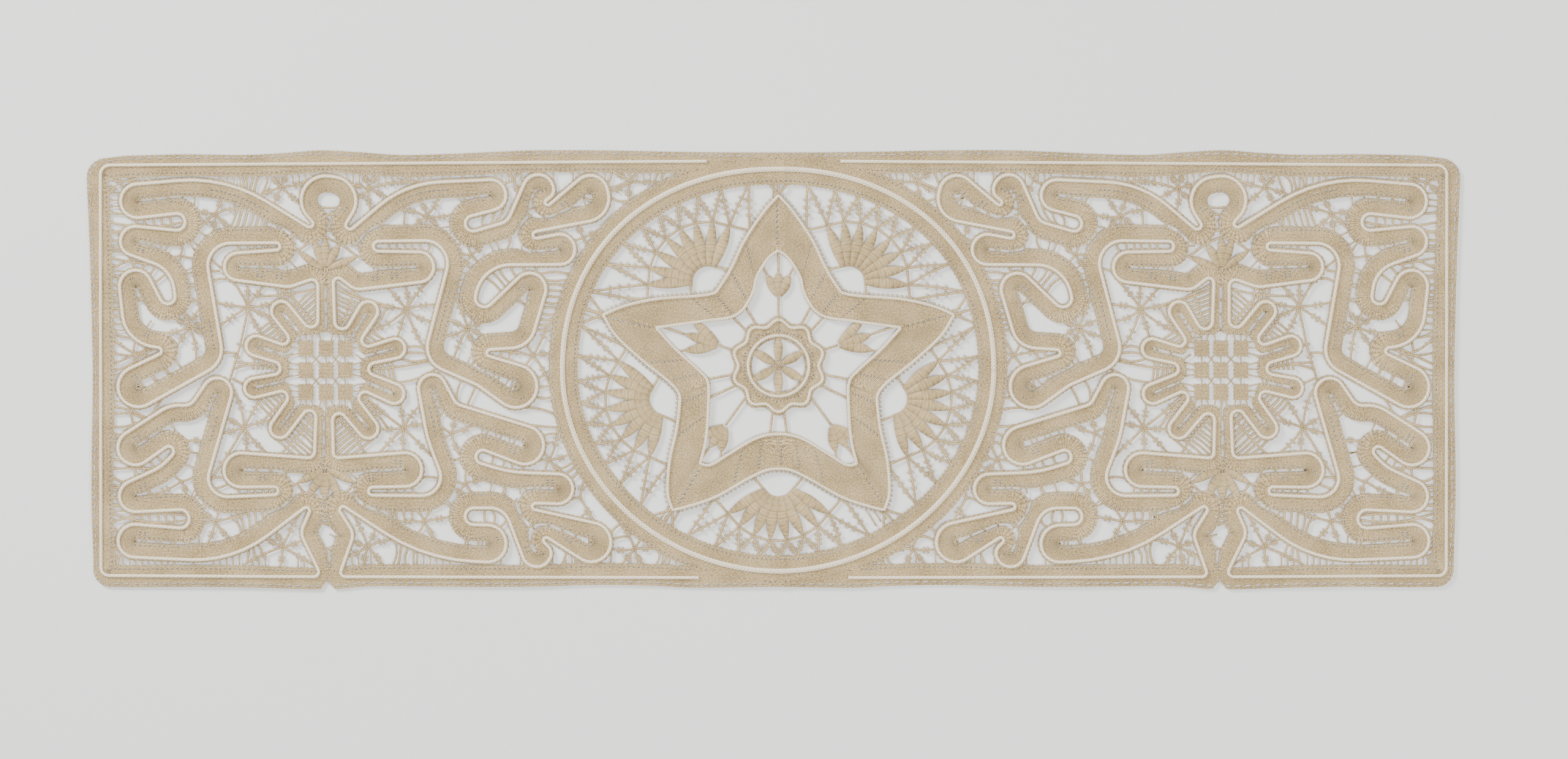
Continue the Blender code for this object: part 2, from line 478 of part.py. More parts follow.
def chart_tapes(chart, edge):
    """Chart the tapes, nets and leaves of both panels, the border, the ring and the star."""
    line = belt([TAPE_STOPS[0]] + scroll_pegs() + [TAPE_STOPS[1]], radians(10))
    left = side_distance(chart, line)
    chart.add(np.maximum(left - TAPE_WIDTH, -TAPE_RIM - left))
    chart.bar(ROSETTE[:2], (ROSETTE[0], ROSETTE[1] + 0.1), ROSETTE[2])
    for ax, ay, bx, by, half in NETS:
        chart.bar((ax, ay), (bx, by), half)
    for ax, ay, bx, by, width in CALYX:
        chart.leaf((ax, ay), (bx, by), width)
    chart.add(chart.f[:, ::-1])
    rim = shape_distance(chart, edge)
    chart.add(-BORDER_WIDTH - rim)
    chart.f = np.maximum(chart.f, rim)
    ring = shape_distance(chart, superellipse(120))
    chart.add(np.maximum(ring - RING_OUTSIDE, -RING_INSIDE - ring))
    outside = shape_distance(chart, star_edge(STAR_OUTSIDE, 4.0))
    hole = shape_distance(chart, star_edge(STAR_INSIDE, 4.0))
    chart.add(np.maximum(outside - STAR_RIM, -hole - STAR_RIM))


def chart_flower(chart):
    """Chart the flower: a scalloped tape, six woven leaves and a round eye."""
    outside = shape_distance(chart, flower_edge(FLOWER_RADIUS, FLOWER_SCALLOP, 120))
    hole = shape_distance(chart, flower_edge(FLOWER_HOLE, 0.0, 60))
    chart.add(np.maximum(outside, -hole))
    x, y = FLOWER_CENTRE
    chart.bar((x, y), (x, y + 0.1), FLOWER_EYE)
    for i in range(FLOWER_LEAVES):
        ux, uy = polar(90 + 360 / FLOWER_LEAVES * i)
        tip = FLOWER_HOLE + 0.5
        chart.leaf((x + 2.5 * ux, y + 2.5 * uy), (x + tip * ux, y + tip * uy), FAN_LEAF_WIDTH)
    for arm in range(5):
        for lean in (-7, 7):
            degrees = 54 + 72 * arm + lean
            ux, uy = polar(degrees)
            start = (x + FLOWER_RADIUS * ux, y + FLOWER_RADIUS * uy)
            chart.bar(start, chart.reach(start, degrees, 2.5), BAR_HALF)


def polar(degrees):
    """Return the unit vector of a direction."""
    return cos(radians(degrees)), sin(radians(degrees))


def both_sides(table):
    """Yield rows of direction, x, y, ... and their mirror images across the star's axis."""
    for direction, x, y, *rest in table:
        yield (direction, x, y, *rest)
        if abs(x - STAR_AXIS) > 1:
            yield (180 - direction, 2 * STAR_AXIS - x, y, *rest)


def chart_fan(chart, direction, x, y):
    """Chart a fan: leaves round a hole, an arc of bars over their tips, and bars to the ring."""
    tips = []
    for i in range(FAN_LEAVES):
        ux, uy = polar(direction + (2 * i - FAN_LEAVES + 1) * FAN_HALF_STEP)
        tips.append((x + FAN_TIP * ux, y + FAN_TIP * uy))
        chart.leaf((x + FAN_BASE * ux, y + FAN_BASE * uy), tips[-1], FAN_LEAF_WIDTH)
    for start, end in zip(tips[:-1], tips[1:]):
        chart.bar(start, end, BAR_HALF)
    for tip, other in ((tips[0], tips[1]), (tips[-1], tips[-2])):
        degrees = np.degrees(atan2(tip[1] - other[1], tip[0] - other[0]))
        chart.bar(tip, chart.reach(tip, degrees, 1.2), BAR_HALF)
    feet = []
    for j in range(FAN_LEAVES + 1):
        degrees = direction + (j - FAN_LEAVES / 2) * FAN_FOOT_STEP
        feet.append(chart.reach((x, y), degrees, FAN_TIP + 1.5))
    for tip, first, second in zip(tips, feet[:-1], feet[1:]):
        chart.bar(tip, first, BAR_HALF)
        chart.bar(tip, second, BAR_HALF)


def chart_cluster(chart, direction, x, y, length):
    """Chart three leaves on one base, each held by a bar at its tip."""
    for lean in (-CLUSTER_SPREAD, 0, CLUSTER_SPREAD):
        ux, uy = polar(direction + lean)
        tip = (x + length * ux, y + length * uy)
        chart.leaf((x, y), tip, FAN_LEAF_WIDTH)
        chart.bar(tip, chart.reach((x, y), direction + lean, length + 0.5), BAR_HALF)
    chart.bar((x, y), chart.reach((x, y), direction + 180, 1.5), BAR_HALF)


def chart_fillings(chart):
    """Chart the spiders and bars of both panels, then the fans, clusters and flower."""
    for side, turn in ((1, 0), (-1, 180)):
        for x, y, legs in SPIDERS:
            for degrees in legs[::2]:
                heading = turn + side * degrees
                chart.bar((side * x, y), chart.reach((side * x, y), heading, LEG_START), BAR_HALF)
        for x, y, degrees in BARS:
            heading = turn + side * degrees
            start = chart.reach((side * x, y), heading)
            chart.bar(start, chart.reach((side * x, y), heading + 180), BAR_HALF)
    for row in both_sides(FANS):
        chart_fan(chart, *row)
    chart_flower(chart)
    for row in both_sides(CLUSTERS):
        chart_cluster(chart, *row)


def contours(chart):
    """Return the closed lines where the distance is zero, by marching squares, cloth on the left."""
    f = chart.f
    rows, columns = f.shape
    corner = (f < 0).astype(int)
    case = corner[:-1, :-1] + 2 * corner[:-1, 1:] + 4 * corner[1:, 1:] + 8 * corner[1:, :-1]
    next_edge = {}
    for row, column in zip(*np.nonzero((case > 0) & (case < 15))):
        edge = {
            "bottom": (0, row, column), "top": (0, row + 1, column),
            "left": (1, row, column), "right": (1, row, column + 1),
        }
        for start, end in MARCHES[case[row, column]]:
            next_edge[edge[start]] = edge[end]
    loops = []
    while next_edge:
        first = next(iter(next_edge))
        edge = first
        loop = []
        while edge in next_edge:
            upright, row, column = edge
            a = f[row, column]
            b = f[row + upright, column + 1 - upright]
            part = CHART_STEP * a / (a - b)
            loop.append((chart.x[column] + part * (1 - upright), chart.y[row] + part * upright))
            edge = next_edge.pop(edge)
        loops.append(np.array(loop))
    return loops


def gap_width(chart, loop):
    """Return the width of the largest circle that fits a gap, read from the chart."""
    place, x, y = chart.near(loop, CHART_STEP)
    return 2 * np.max(np.where(inside(loop, x, y), chart.f[place], 0))


def thin_out(line, tolerance):
    """Drop points of an open line that lie within a tolerance of the chord, Douglas-Peucker."""
    if len(line) < 3:
        return line
    distance = to_segment(line[:, 0], line[:, 1], line[0], line[-1])[0]
    worst = int(np.argmax(distance))
    if distance[worst] <= tolerance:
        return line[[0, -1]]
    return np.vstack([thin_out(line[:worst + 1], tolerance)[:-1], thin_out(line[worst:], tolerance)])


def thin_loop(loop):
    """Keep only the points that a closed line needs for its shape."""
    start = int(np.argmax(np.hypot(*(loop - loop.mean(axis=0)).T)))
    loop = np.roll(loop, -start, axis=0)
    far = int(np.argmax(np.hypot(*(loop - loop[0]).T)))
    closed = np.vstack([loop, loop[:1]])
    first = thin_out(closed[:far + 1], OUTLINE_TOLERANCE)
    second = thin_out(closed[far:], OUTLINE_TOLERANCE)
    return np.vstack([first[:-1], second[:-1]])


def area(loop):
    """Return the signed area of a closed line."""
    x, y = loop.T
    return 0.5 * np.sum(x * np.roll(y, -1) - np.roll(x, -1) * y)


def ground_outline():
    """Return the cut edge of the cloth and the edges of the gaps that are cut through it."""
    chart = Chart()
    chart_tapes(chart, cut_edge())
    chart_fillings(chart)
    loops = sorted(contours(chart), key=area)
    rim = loops[-1]
    least = pi * SMALLEST_GAP ** 2 / 4
    wide = [loop for loop in loops[:-1] if area(loop) < -least]
    gaps = [loop for loop in wide if gap_width(chart, loop) > SMALLEST_GAP]
    return [thin_loop(loop) for loop in [rim] + gaps[:MOST_GAPS]]


def material(name, colour, roughness):
    """Return a plain cloth material."""
    result = bpy.data.materials.new(name)
    result.use_nodes = True
    shader = result.node_tree.nodes["Principled BSDF"]
    shader.inputs["Base Color"].default_value = (*colour, 1)
    shader.inputs["Roughness"].default_value = roughness
    return result


def poly_curve(name, lines, cyclic, collection):
    """Return a curve object with one straight-sided spline for each line of points, in metres."""
    data = bpy.data.curves.new(name, "CURVE")
    data.resolution_u = 1
    data.render_resolution_u = 0
    for line in lines:
        spline = data.splines.new("POLY")
        spline.points.add(len(line) - 1)
        places = np.zeros((len(line), 4))
        places[:, :2] = (np.array(line) - CENTRE) * MM
        places[:, 3] = 1
        spline.points.foreach_set("co", places.ravel())
        spline.use_cyclic_u = cyclic
    thing = bpy.data.objects.new(name, data)
    collection.objects.link(thing)
    return thing


def make_ground(collection, cloth):
    """Make the cloth: a flat outline with its gaps, given its thickness."""
    ground = poly_curve("ground", ground_outline(), True, collection)
    ground.data.dimensions = "2D"
    ground.data.fill_mode = "BOTH"
    ground.data.extrude = GROUND_THICKNESS / 2 * MM
    ground.data.materials.append(cloth)
    ground.location.z = GROUND_THICKNESS / 2 * MM


def make_gimp_section(collection):
    """Make the three-sided section that every gimp cord shares, flat side down."""
    section = poly_curve("gimp_section", [[(0, 0), (0, 0), (0, 0)]], True, collection)
    half = GIMP_WIDTH / 2 * MM
    corners = [(half, 0), (-half, 0), (0, GIMP_HEIGHT * MM)]
    for point, (x, y) in zip(section.data.splines[0].points, corners):
        point.co = (x, y, 0, 1)
    section.hide_render = True
    section.display_type = "WIRE"
    return section


def make_gimp(name, line, cyclic, section, collection, cord):
    """Make one gimp cord lying just over the cloth along its line."""
    gimp = poly_curve(name, [line], cyclic, collection)
    gimp.data.dimensions = "3D"
    gimp.data.twist_mode = "Z_UP"
    gimp.data.bevel_mode = "OBJECT"
    gimp.data.bevel_object = section
    gimp.data.use_fill_caps = True
    gimp.data.materials.append(cord)
    gimp.location.z = (GROUND_THICKNESS + LAYER_GAP) * MM


def round_corners(line, size):
    """Replace each sharp point of a closed line by three points, so that a cord can turn there."""
    result = []
    for before, point, after in zip(np.roll(line, 1, axis=0), line, np.roll(line, -1, axis=0)):
        back = (before - point) / hypot(*(before - point))
        ahead = (after - point) / hypot(*(after - point))
        if np.dot(back, ahead) < SHARP_COSINE:
            result.append(point)
            continue
        start, end = point + size * back, point + size * ahead
        result += [start, (start + end + 2 * point) / 4, end]
    return np.array(result)


def main():
    for old in list(bpy.data.objects):
        bpy.data.objects.remove(old)
    lace = bpy.data.collections.new("bobbin_lace_panel")
    guides = bpy.data.collections.new("guides")
    for collection in (lace, guides):
        bpy.context.scene.collection.children.link(collection)
    cloth = material("linen_ground", GROUND_COLOUR, 0.9)
    cord = material("gimp_cord", GIMP_COLOUR, 0.75)
    make_ground(lace, cloth)
    section = make_gimp_section(guides)
    scroll = belt([BORDER_START] + scroll_pegs() + BORDER_PEGS, CORD_TURN)
    ring = superellipse(RING_CORD_POINTS)
    star_out = round_corners(star_edge(STAR_OUTSIDE, STAR_CORD_STEP), STAR_CORNER)
    star_in = round_corners(star_edge(STAR_INSIDE, STAR_CORD_STEP), STAR_CORNER)
    flower_out = flower_edge(FLOWER_RADIUS - 1.0, FLOWER_SCALLOP, FLOWER_CORD_POINTS)
    flower_in = flower_edge(FLOWER_HOLE + 1.0, 0.0, FLOWER_CORD_POINTS // 2)
    cords = [
        ("scroll_gimp_left", scroll, False), ("scroll_gimp_right", scroll * (-1, 1), False),
        ("ring_gimp", ring, True), ("star_gimp_outer", star_out, True),
        ("star_gimp_inner", star_in, True), ("flower_gimp_outer", flower_out, True),
        ("flower_gimp_inner", flower_in, True),
    ]
    for name, line, cyclic in cords:
        make_gimp(name, line, cyclic, section, lace, cord)


main()
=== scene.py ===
# %% [markdown]
# # A bobbin lace table runner
#
# The real piece is linen thread and nothing else. Pairs of bobbins are crossed and twisted round pins
# into tapes of cloth stitch, plaits and woven leaves, and a thick cream cord, the gimp, is laid along
# every tape. Each of these could be drawn as one flat picture on a sheet. Here each is made the way it
# is worked instead: a strip or a cord carried along a line, because then its holes are real holes, and
# its threads turn with it round every bend.
#
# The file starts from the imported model. Its solids say where everything goes.

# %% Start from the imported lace
import bpy
import numpy as np
from math import atan2, ceil, cos, hypot, pi, radians, sin, sqrt
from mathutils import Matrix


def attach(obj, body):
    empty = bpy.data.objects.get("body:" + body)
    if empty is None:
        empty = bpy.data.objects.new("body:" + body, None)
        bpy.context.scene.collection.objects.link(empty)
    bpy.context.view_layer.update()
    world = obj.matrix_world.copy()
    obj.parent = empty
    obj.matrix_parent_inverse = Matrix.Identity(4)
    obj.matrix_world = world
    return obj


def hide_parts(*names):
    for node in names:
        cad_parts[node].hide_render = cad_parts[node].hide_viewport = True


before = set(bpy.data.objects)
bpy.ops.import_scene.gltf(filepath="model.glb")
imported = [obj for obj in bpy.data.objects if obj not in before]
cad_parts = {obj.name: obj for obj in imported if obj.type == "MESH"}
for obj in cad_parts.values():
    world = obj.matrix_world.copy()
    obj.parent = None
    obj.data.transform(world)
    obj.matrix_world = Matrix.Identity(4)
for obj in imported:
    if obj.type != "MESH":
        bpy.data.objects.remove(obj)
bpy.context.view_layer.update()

# %% [markdown]
# ## The chart
#
# Lace is worked over a pricked chart. All sizes below are millimetres on that chart, with x along the
# runner and y across it. The chart's own middle is a little off the middle of the worked lace, so
# everything is moved by CENTRE when it becomes a mesh, and turned into metres.

# %% Chart scale, and how the lace lies
MM = 0.001
CENTRE = np.array((0.147, 0.388))
chance = np.random.default_rng(11)
collection = bpy.data.collections.new("bobbin_lace_runner")
bpy.context.scene.collection.children.link(collection)


def cockle(x, y):
    """Height of the unevenness with which the lace lies: three slow waves that cross each other.

    A fold across the middle of the ring stands up as a low ridge near both edges.
    """
    slow = 0.13 * np.sin(x / 23 + 1.3) * np.cos(y / 17 + 0.4) + 0.07 * np.sin(x / 9.1 + y / 11)
    fold = 0.55 * np.exp(-((x - 5.2) / 1.7) ** 2) * np.clip((np.abs(y) - 78) / 14, 0, 1)
    return slow + fold


print("unevenness in mm:", np.round(cockle(np.linspace(-350, 350, 7), np.zeros(7)), 2))

# %% [markdown]
# ## Lines to work along
#
# A bobbin lace tape is a strip beside a line. The line could be a Blender curve, but here it is a list
# of points with a left-pointing normal at each, because every row of holes and every thread then comes
# from the same few numbers. The gimp's line is found like a belt pulled tight round pegs.

# %% Curves, belts and lines


def smooth_curve(points, step, closed=False, corners=()):
    """Catmull-Rom curve through the points: each span is a cubic with the slopes of its neighbours' chord.

    At a corner the curve breaks: the missing neighbour is the next point mirrored.
    """
    points = np.array(points, float)
    count = len(points)
    pieces = []
    for i in range(count if closed else count - 1):
        start, end = points[i], points[(i + 1) % count]
        before = points[i - 1] if closed or i > 0 else 2 * start - end
        after = points[(i + 2) % count] if closed or i + 2 < count else 2 * end - start
        if i in corners:
            before = 2 * start - end
        if (i + 1) % count in corners:
            after = 2 * end - start
        steps = max(1, ceil(hypot(*(end - start)) / step))
        t = (np.arange(steps) / steps)[:, None]
        cubic = (3 * start - before - 3 * end + after) * t ** 3
        square = (2 * before - 5 * start + 4 * end - after) * t ** 2
        pieces.append(0.5 * (2 * start + (end - before) * t + square + cubic))
    curve = np.vstack(pieces)
    return curve if closed else np.vstack([curve, points[-1]])


def arc(corner, start, end, steps=10):
    """Points of a circle, given as x, y, radius, between two angles in degrees."""
    x, y, radius = corner
    angles = np.radians(np.linspace(start, end, steps + 1))
    return np.c_[x + radius * np.cos(angles), y + radius * np.sin(angles)]


def belt(pegs, turn_step=radians(7)):
    """Line of a cord pulled tight round pegs.

    Between two pegs it is their common tangent: the line of centres turned back by
    atan2(k, sqrt(d*d - k*k)), with d the distance and k the difference of the two radii,
    each signed by its peg's turn. Round a peg it is an arc.
    """
    headings = []
    for (ax, ay, ar, a_turn), (bx, by, br, b_turn) in zip(pegs[:-1], pegs[1:]):
        shift = b_turn * br - a_turn * ar
        gap = hypot(bx - ax, by - ay)
        lean = atan2(shift, sqrt(max(gap * gap - shift * shift, 0.0)))
        headings.append(atan2(by - ay, bx - ax) - lean)
    line = []
    for (x, y, radius, turn), start, end in zip(pegs, headings[:1] + headings, headings + headings[-1:]):
        sweep = turn * (end - start) % (2 * pi)
        if sweep > 1.8 * pi:
            sweep -= 2 * pi
        steps = max(1, ceil(abs(sweep) / turn_step)) if radius else 0
        for heading in np.linspace(start, start + turn * sweep, steps + 1):
            line.append((x + turn * radius * sin(heading), y - turn * radius * cos(heading)))
    return np.array(line)


class Line:
    """A line in even steps, with the unit normal on its left at every step.

    The normal is the step from the point before to the point after, turned a quarter left.
    """

    def __init__(self, points, closed=False, step=0.5):
        points = np.asarray(points, float)
        if closed:
            points = np.vstack([points, points[:1]])
        run = np.r_[0, np.cumsum(np.hypot(*np.diff(points, axis=0).T))]
        keep = np.r_[True, np.diff(run) > 1e-9]
        points, run = points[keep], run[keep]
        self.closed = closed
        self.length = run[-1]
        self.s = np.linspace(0, self.length, max(2, round(self.length / step)) + 1)
        self.p = np.c_[np.interp(self.s, run, points[:, 0]), np.interp(self.s, run, points[:, 1])]
        ahead = np.gradient(self.p, axis=0)
        if closed:
            ahead[0] = ahead[-1] = self.p[1] - self.p[-2]
        ahead /= np.hypot(*ahead.T)[:, None]
        self.n = np.c_[-ahead[:, 1], ahead[:, 0]]

    def at(self, s, off=0.0):
        """Points off millimetres to the left of the line at distances s along it."""
        s = np.mod(s, self.length) if self.closed else s
        x, y, nx, ny = (np.interp(s, self.s, column) for column in (*self.p.T, *self.n.T))
        return np.stack([x + off * nx, y + off * ny], axis=-1)

    def bend(self):
        """How fast the line turns left, in radians for each millimetre."""
        ax, ay = self.n.T
        return np.gradient(np.unwrap(np.arctan2(ay, ax)), self.s)

    def room(self):
        """Radius of the largest disc on the left that touches the line at p and holds no other
        point q of it: the least of |q-p|**2 / (2 n.(q-p))."""
        radius = np.full(len(self.p), 99.0)
        for rows in np.array_split(np.arange(len(self.p)), 80):
            step = self.p[None, ::2] - self.p[rows, None]
            square = (step ** 2).sum(-1)
            ahead = (step * self.n[rows, None]).sum(-1)
            fits = np.where((ahead > 0.02) & (square > 2.2), square / (2 * np.maximum(ahead, 1e-6)), 99.0)
            radius[rows] = fits.min(1)
        return radius


# %% [markdown]
# ## Pegs and edges
#
# These short tables are the pricking: round pegs for the gimp, and a few points for the edges. Each
# panel is drawn once, for the left end, and mirrored for the right.

# %% The pricking of a panel
LEFT_TURN = 1
RIGHT_TURN = -1
# Cut edge of the left half: x, y
TOP_EDGE = [
    (-330, 109.3), (-300, 110), (-270, 109.7), (-250, 110.6), (-230, 112), (-210, 111),
    (-190, 109.7), (-165, 110.2), (-140, 111.3), (-120, 112), (-90, 112), (-60, 111.5),
    (-30, 111), (0, 110.9),
]
LEFT_EDGE = [(-350, 97), (-348.4, 60), (-347, 0), (-347.6, -60), (-346.6, -98)]
BOTTOM_EDGE = [
    (-326, -110.2), (-290, -110), (-260, -110.5), (-236, -111.3), (-220, -111.0), (-215, -110.4),
    (-200, -109.6), (-150, -110), (-120, -109.8), (-90, -109), (-60, -109.5), (-40, -110.4), (0, -110),
]
# Pegs of the gimp down the outer side of a panel: x, y, radius, turn
OUTER_PEGS = [
    (-228.6, 87.0, 12.2, LEFT_TURN), (-236.6, 74.9, 1.9, RIGHT_TURN),
    (-297.4, 22.6, 74.5, LEFT_TURN), (-324.3, 86.5, 8.6, LEFT_TURN),
    (-304.3, 75.8, 4.3, RIGHT_TURN), (-325.5, 66.0, 7.5, LEFT_TURN),
    (-321.0, 40.0, 15.5, RIGHT_TURN), (-309.0, 37.8, 3.9, RIGHT_TURN),
    (-325.3, 43.0, 8.2, LEFT_TURN), (-314.0, 30.0, 18.0, LEFT_TURN),
    (-313.8, 10.0, 1.8, RIGHT_TURN), (-323.9, -8.2, 10.3, LEFT_TURN),
    (-294.0, 11.0, 12.5, LEFT_TURN), (-277.0, 53.5, 11.5, RIGHT_TURN),
    (-253.5, 63.3, 1.9, RIGHT_TURN), (-273.0, 53.0, 7.0, LEFT_TURN),
    (-248.0, 52.0, 9.2, LEFT_TURN), (-235.5, 43.2, 3.2, RIGHT_TURN),
    (-236.0, 25.8, 3.7, RIGHT_TURN), (-251.0, 30.3, 5.0, LEFT_TURN),
    (-250.3, 16.4, 3.1, RIGHT_TURN), (-263.8, 12.6, 5.1, LEFT_TURN),
    (-254.8, 1.2, 3.3, RIGHT_TURN), (-264.8, -8.8, 4.9, LEFT_TURN),
    (-251.0, -13.8, 3.3, RIGHT_TURN), (-251.7, -29.3, 5.0, LEFT_TURN),
    (-236.8, -23.8, 3.5, RIGHT_TURN), (-237.3, -41.2, 3.3, RIGHT_TURN),
    (-271.5, -50.7, 8.7, LEFT_TURN), (-254.6, -61.3, 2.1, RIGHT_TURN),
    (-278.5, -54.7, 9.7, RIGHT_TURN), (-283.7, -11.2, 7.4, LEFT_TURN),
    (-300.5, -11.5, 6.3, RIGHT_TURN), (-303.0, -35.0, 17.3, LEFT_TURN),
    (-325.5, -39.3, 8.8, LEFT_TURN), (-308.4, -41.2, 2.6, RIGHT_TURN),
    (-327.5, -28.0, 25.6, RIGHT_TURN), (-325.5, -64.0, 8.0, LEFT_TURN),
    (-302.6, -75.6, 4.7, RIGHT_TURN), (-325.8, -86.8, 8.4, LEFT_TURN),
    (-295.0, -35.0, 61.5, LEFT_TURN), (-238.3, -71.5, 1.8, RIGHT_TURN),
    (-232.5, -82.5, 8.0, LEFT_TURN), (-234.5, -102.5, 2.6, RIGHT_TURN),
]
# Pegs of the same cord down the inner side, beside the ring
INNER_PEGS = [
    (-225.2, 86.6, 12.2, RIGHT_TURN), (-216.0, 74.2, 2.2, LEFT_TURN),
    (-168.0, 45.0, 51.2, RIGHT_TURN), (-144.3, 89.5, 7.8, RIGHT_TURN),
    (-153.2, 75.0, 4.0, LEFT_TURN), (-141.0, 82.0, 7.3, LEFT_TURN),
    (-120.0, 92.0, 7.9, RIGHT_TURN), (-117.0, 92.3, 4.9, RIGHT_TURN),
    (-115.2, 85.7, 1.4, LEFT_TURN), (-93.5, 90.5, 9.0, RIGHT_TURN),
    (-96.0, 88.0, 12.0, RIGHT_TURN), (-121.0, 69.2, 1.8, LEFT_TURN),
    (-109.0, 61.8, 7.7, RIGHT_TURN), (-134.0, 36.0, 18.0, LEFT_TURN),
    (-147.5, 37.0, 4.6, LEFT_TURN), (-124.3, 41.5, 8.2, RIGHT_TURN),
    (-134.0, 24.0, 12.5, RIGHT_TURN), (-144.5, 9.0, 1.8, LEFT_TURN),
    (-131.5, -8.0, 10.8, RIGHT_TURN), (-156.0, -16.0, 10.0, LEFT_TURN),
    (-164.0, 12.0, 12.5, RIGHT_TURN), (-178.0, 54.5, 11.8, LEFT_TURN),
    (-201.5, 63.4, 2.6, LEFT_TURN), (-181.0, 52.8, 7.7, RIGHT_TURN),
    (-211.0, 49.5, 8.0, RIGHT_TURN), (-222.0, 44.8, 2.5, LEFT_TURN),
    (-220.0, 25.0, 3.8, LEFT_TURN), (-206.8, 30.2, 5.0, RIGHT_TURN),
    (-206.8, 15.5, 3.2, LEFT_TURN), (-193.0, 11.3, 5.0, RIGHT_TURN),
    (-203.3, 0.8, 3.2, LEFT_TURN), (-193.5, -11.8, 5.0, RIGHT_TURN),
    (-208.3, -14.0, 3.2, LEFT_TURN), (-206.7, -29.5, 5.0, RIGHT_TURN),
    (-221.5, -25.2, 3.4, LEFT_TURN), (-222.0, -42.0, 2.5, LEFT_TURN),
    (-188.0, -50.5, 8.6, RIGHT_TURN), (-204.5, -61.5, 2.1, LEFT_TURN),
    (-179.5, -54.0, 9.8, LEFT_TURN), (-118.0, -18.0, 60.5, RIGHT_TURN),
    (-174.0, -9.0, 7.0, RIGHT_TURN), (-158.0, -12.5, 5.5, LEFT_TURN),
    (-127.0, -38.0, 9.7, RIGHT_TURN), (-148.3, -44.0, 3.5, LEFT_TURN),
    (-125.0, 6.5, 58.6, LEFT_TURN), (-110.0, -60.3, 7.6, RIGHT_TURN),
    (-121.5, -69.3, 1.7, LEFT_TURN), (-93.0, -87.5, 10.0, RIGHT_TURN),
    (-115.9, -86.5, 1.5, LEFT_TURN), (-118.3, -93.2, 4.9, RIGHT_TURN),
    (-120.8, -92.6, 7.4, RIGHT_TURN), (-144.5, -80.5, 10.5, LEFT_TURN),
    (-153.0, -74.3, 4.3, LEFT_TURN), (-145.8, -88.2, 9.4, RIGHT_TURN),
    (-149.0, -7.4, 90.0, RIGHT_TURN), (-219.5, -71.0, 1.8, LEFT_TURN),
    (-222.0, -84.0, 7.3, RIGHT_TURN), (-218.5, -102.8, 2.3, LEFT_TURN),
]
BORDER_PEGS = [
    (-339.0, -100.5, 4.0, RIGHT_TURN), (-338.5, 100.0, 4.8, RIGHT_TURN), (-34.0, 106.8, 0.0, RIGHT_TURN),
]
BORDER_START = (-38.0, -105.5, 0.0, LEFT_TURN)
ROSETTE_CENTRE, ROSETTE_WINDOW = (-228.8, 0.3), 18.2
FEET = [(-207.0, -104.6, 0.0, LEFT_TURN), (-250.0, -104.4, 0.0, RIGHT_TURN)]

scroll_pegs = [(x, y, radius, -turn) for x, y, radius, turn in reversed(INNER_PEGS)] + OUTER_PEGS
scroll_line = Line(belt(FEET[:1] + scroll_pegs + FEET[1:]))
scroll_cord = belt([BORDER_START] + scroll_pegs + BORDER_PEGS)
left_edge = np.vstack([
    smooth_curve(TOP_EDGE, 3.0)[::-1], arc((-340.5, 98.5, 9.5), 100, 178), smooth_curve(LEFT_EDGE, 4.0),
    arc((-338.0, -101.5, 8.6), 182, 262), smooth_curve(BOTTOM_EDGE, 3.0),
])
edge_line = Line(np.vstack([left_edge, left_edge[-2:0:-1] * (-1, 1)]), closed=True)
print("scroll tape", round(scroll_line.length), "mm, cut edge", round(edge_line.length), "mm")

# %% [markdown]
# ## Cloth stitch with its pinholes
#
# A pin holds each turn of the weaver at the edge of a tape, and leaves a small round hole there. Holes
# could be painted with a see-through material, but modelled ones cast real shadows. So a tape is a grid
# of small tiles, a few across its width and one to each pin along it. A tile is either plain or has a
# round hole, and all of its points come from two numbers: u, counted in pins along the tape, and v,
# from 0 at the gimp to 1 at the free edge.

# %% Tiles of cloth
THICKNESS = 0.5


def tile(span):
    """Outline of a tile that is span pins long, and as many points round a circle, anticlockwise."""
    low = np.arange(3 * span + 1) / 3
    rim = np.r_[np.c_[low, 0 * low], np.c_[low[::-1], 0 * low + 1]]
    turn = -pi + (np.arange(len(rim)) + 0.5) * 2 * pi / len(rim)
    return rim, np.c_[np.cos(turn), np.sin(turn)]


def plain_row(count, low, high):
    """Three plain squares for each pin, between two heights v. The squares are spans of u."""
    u = np.arange(3 * count)[:, None] / 3 + np.array((0, 1, 1, 0)) / 3
    v = np.broadcast_to(np.array((low, low, high, high), float), u.shape)
    return np.stack([u, v], -1).reshape(-1, 2), np.arange(12 * count).reshape(-1, 4)


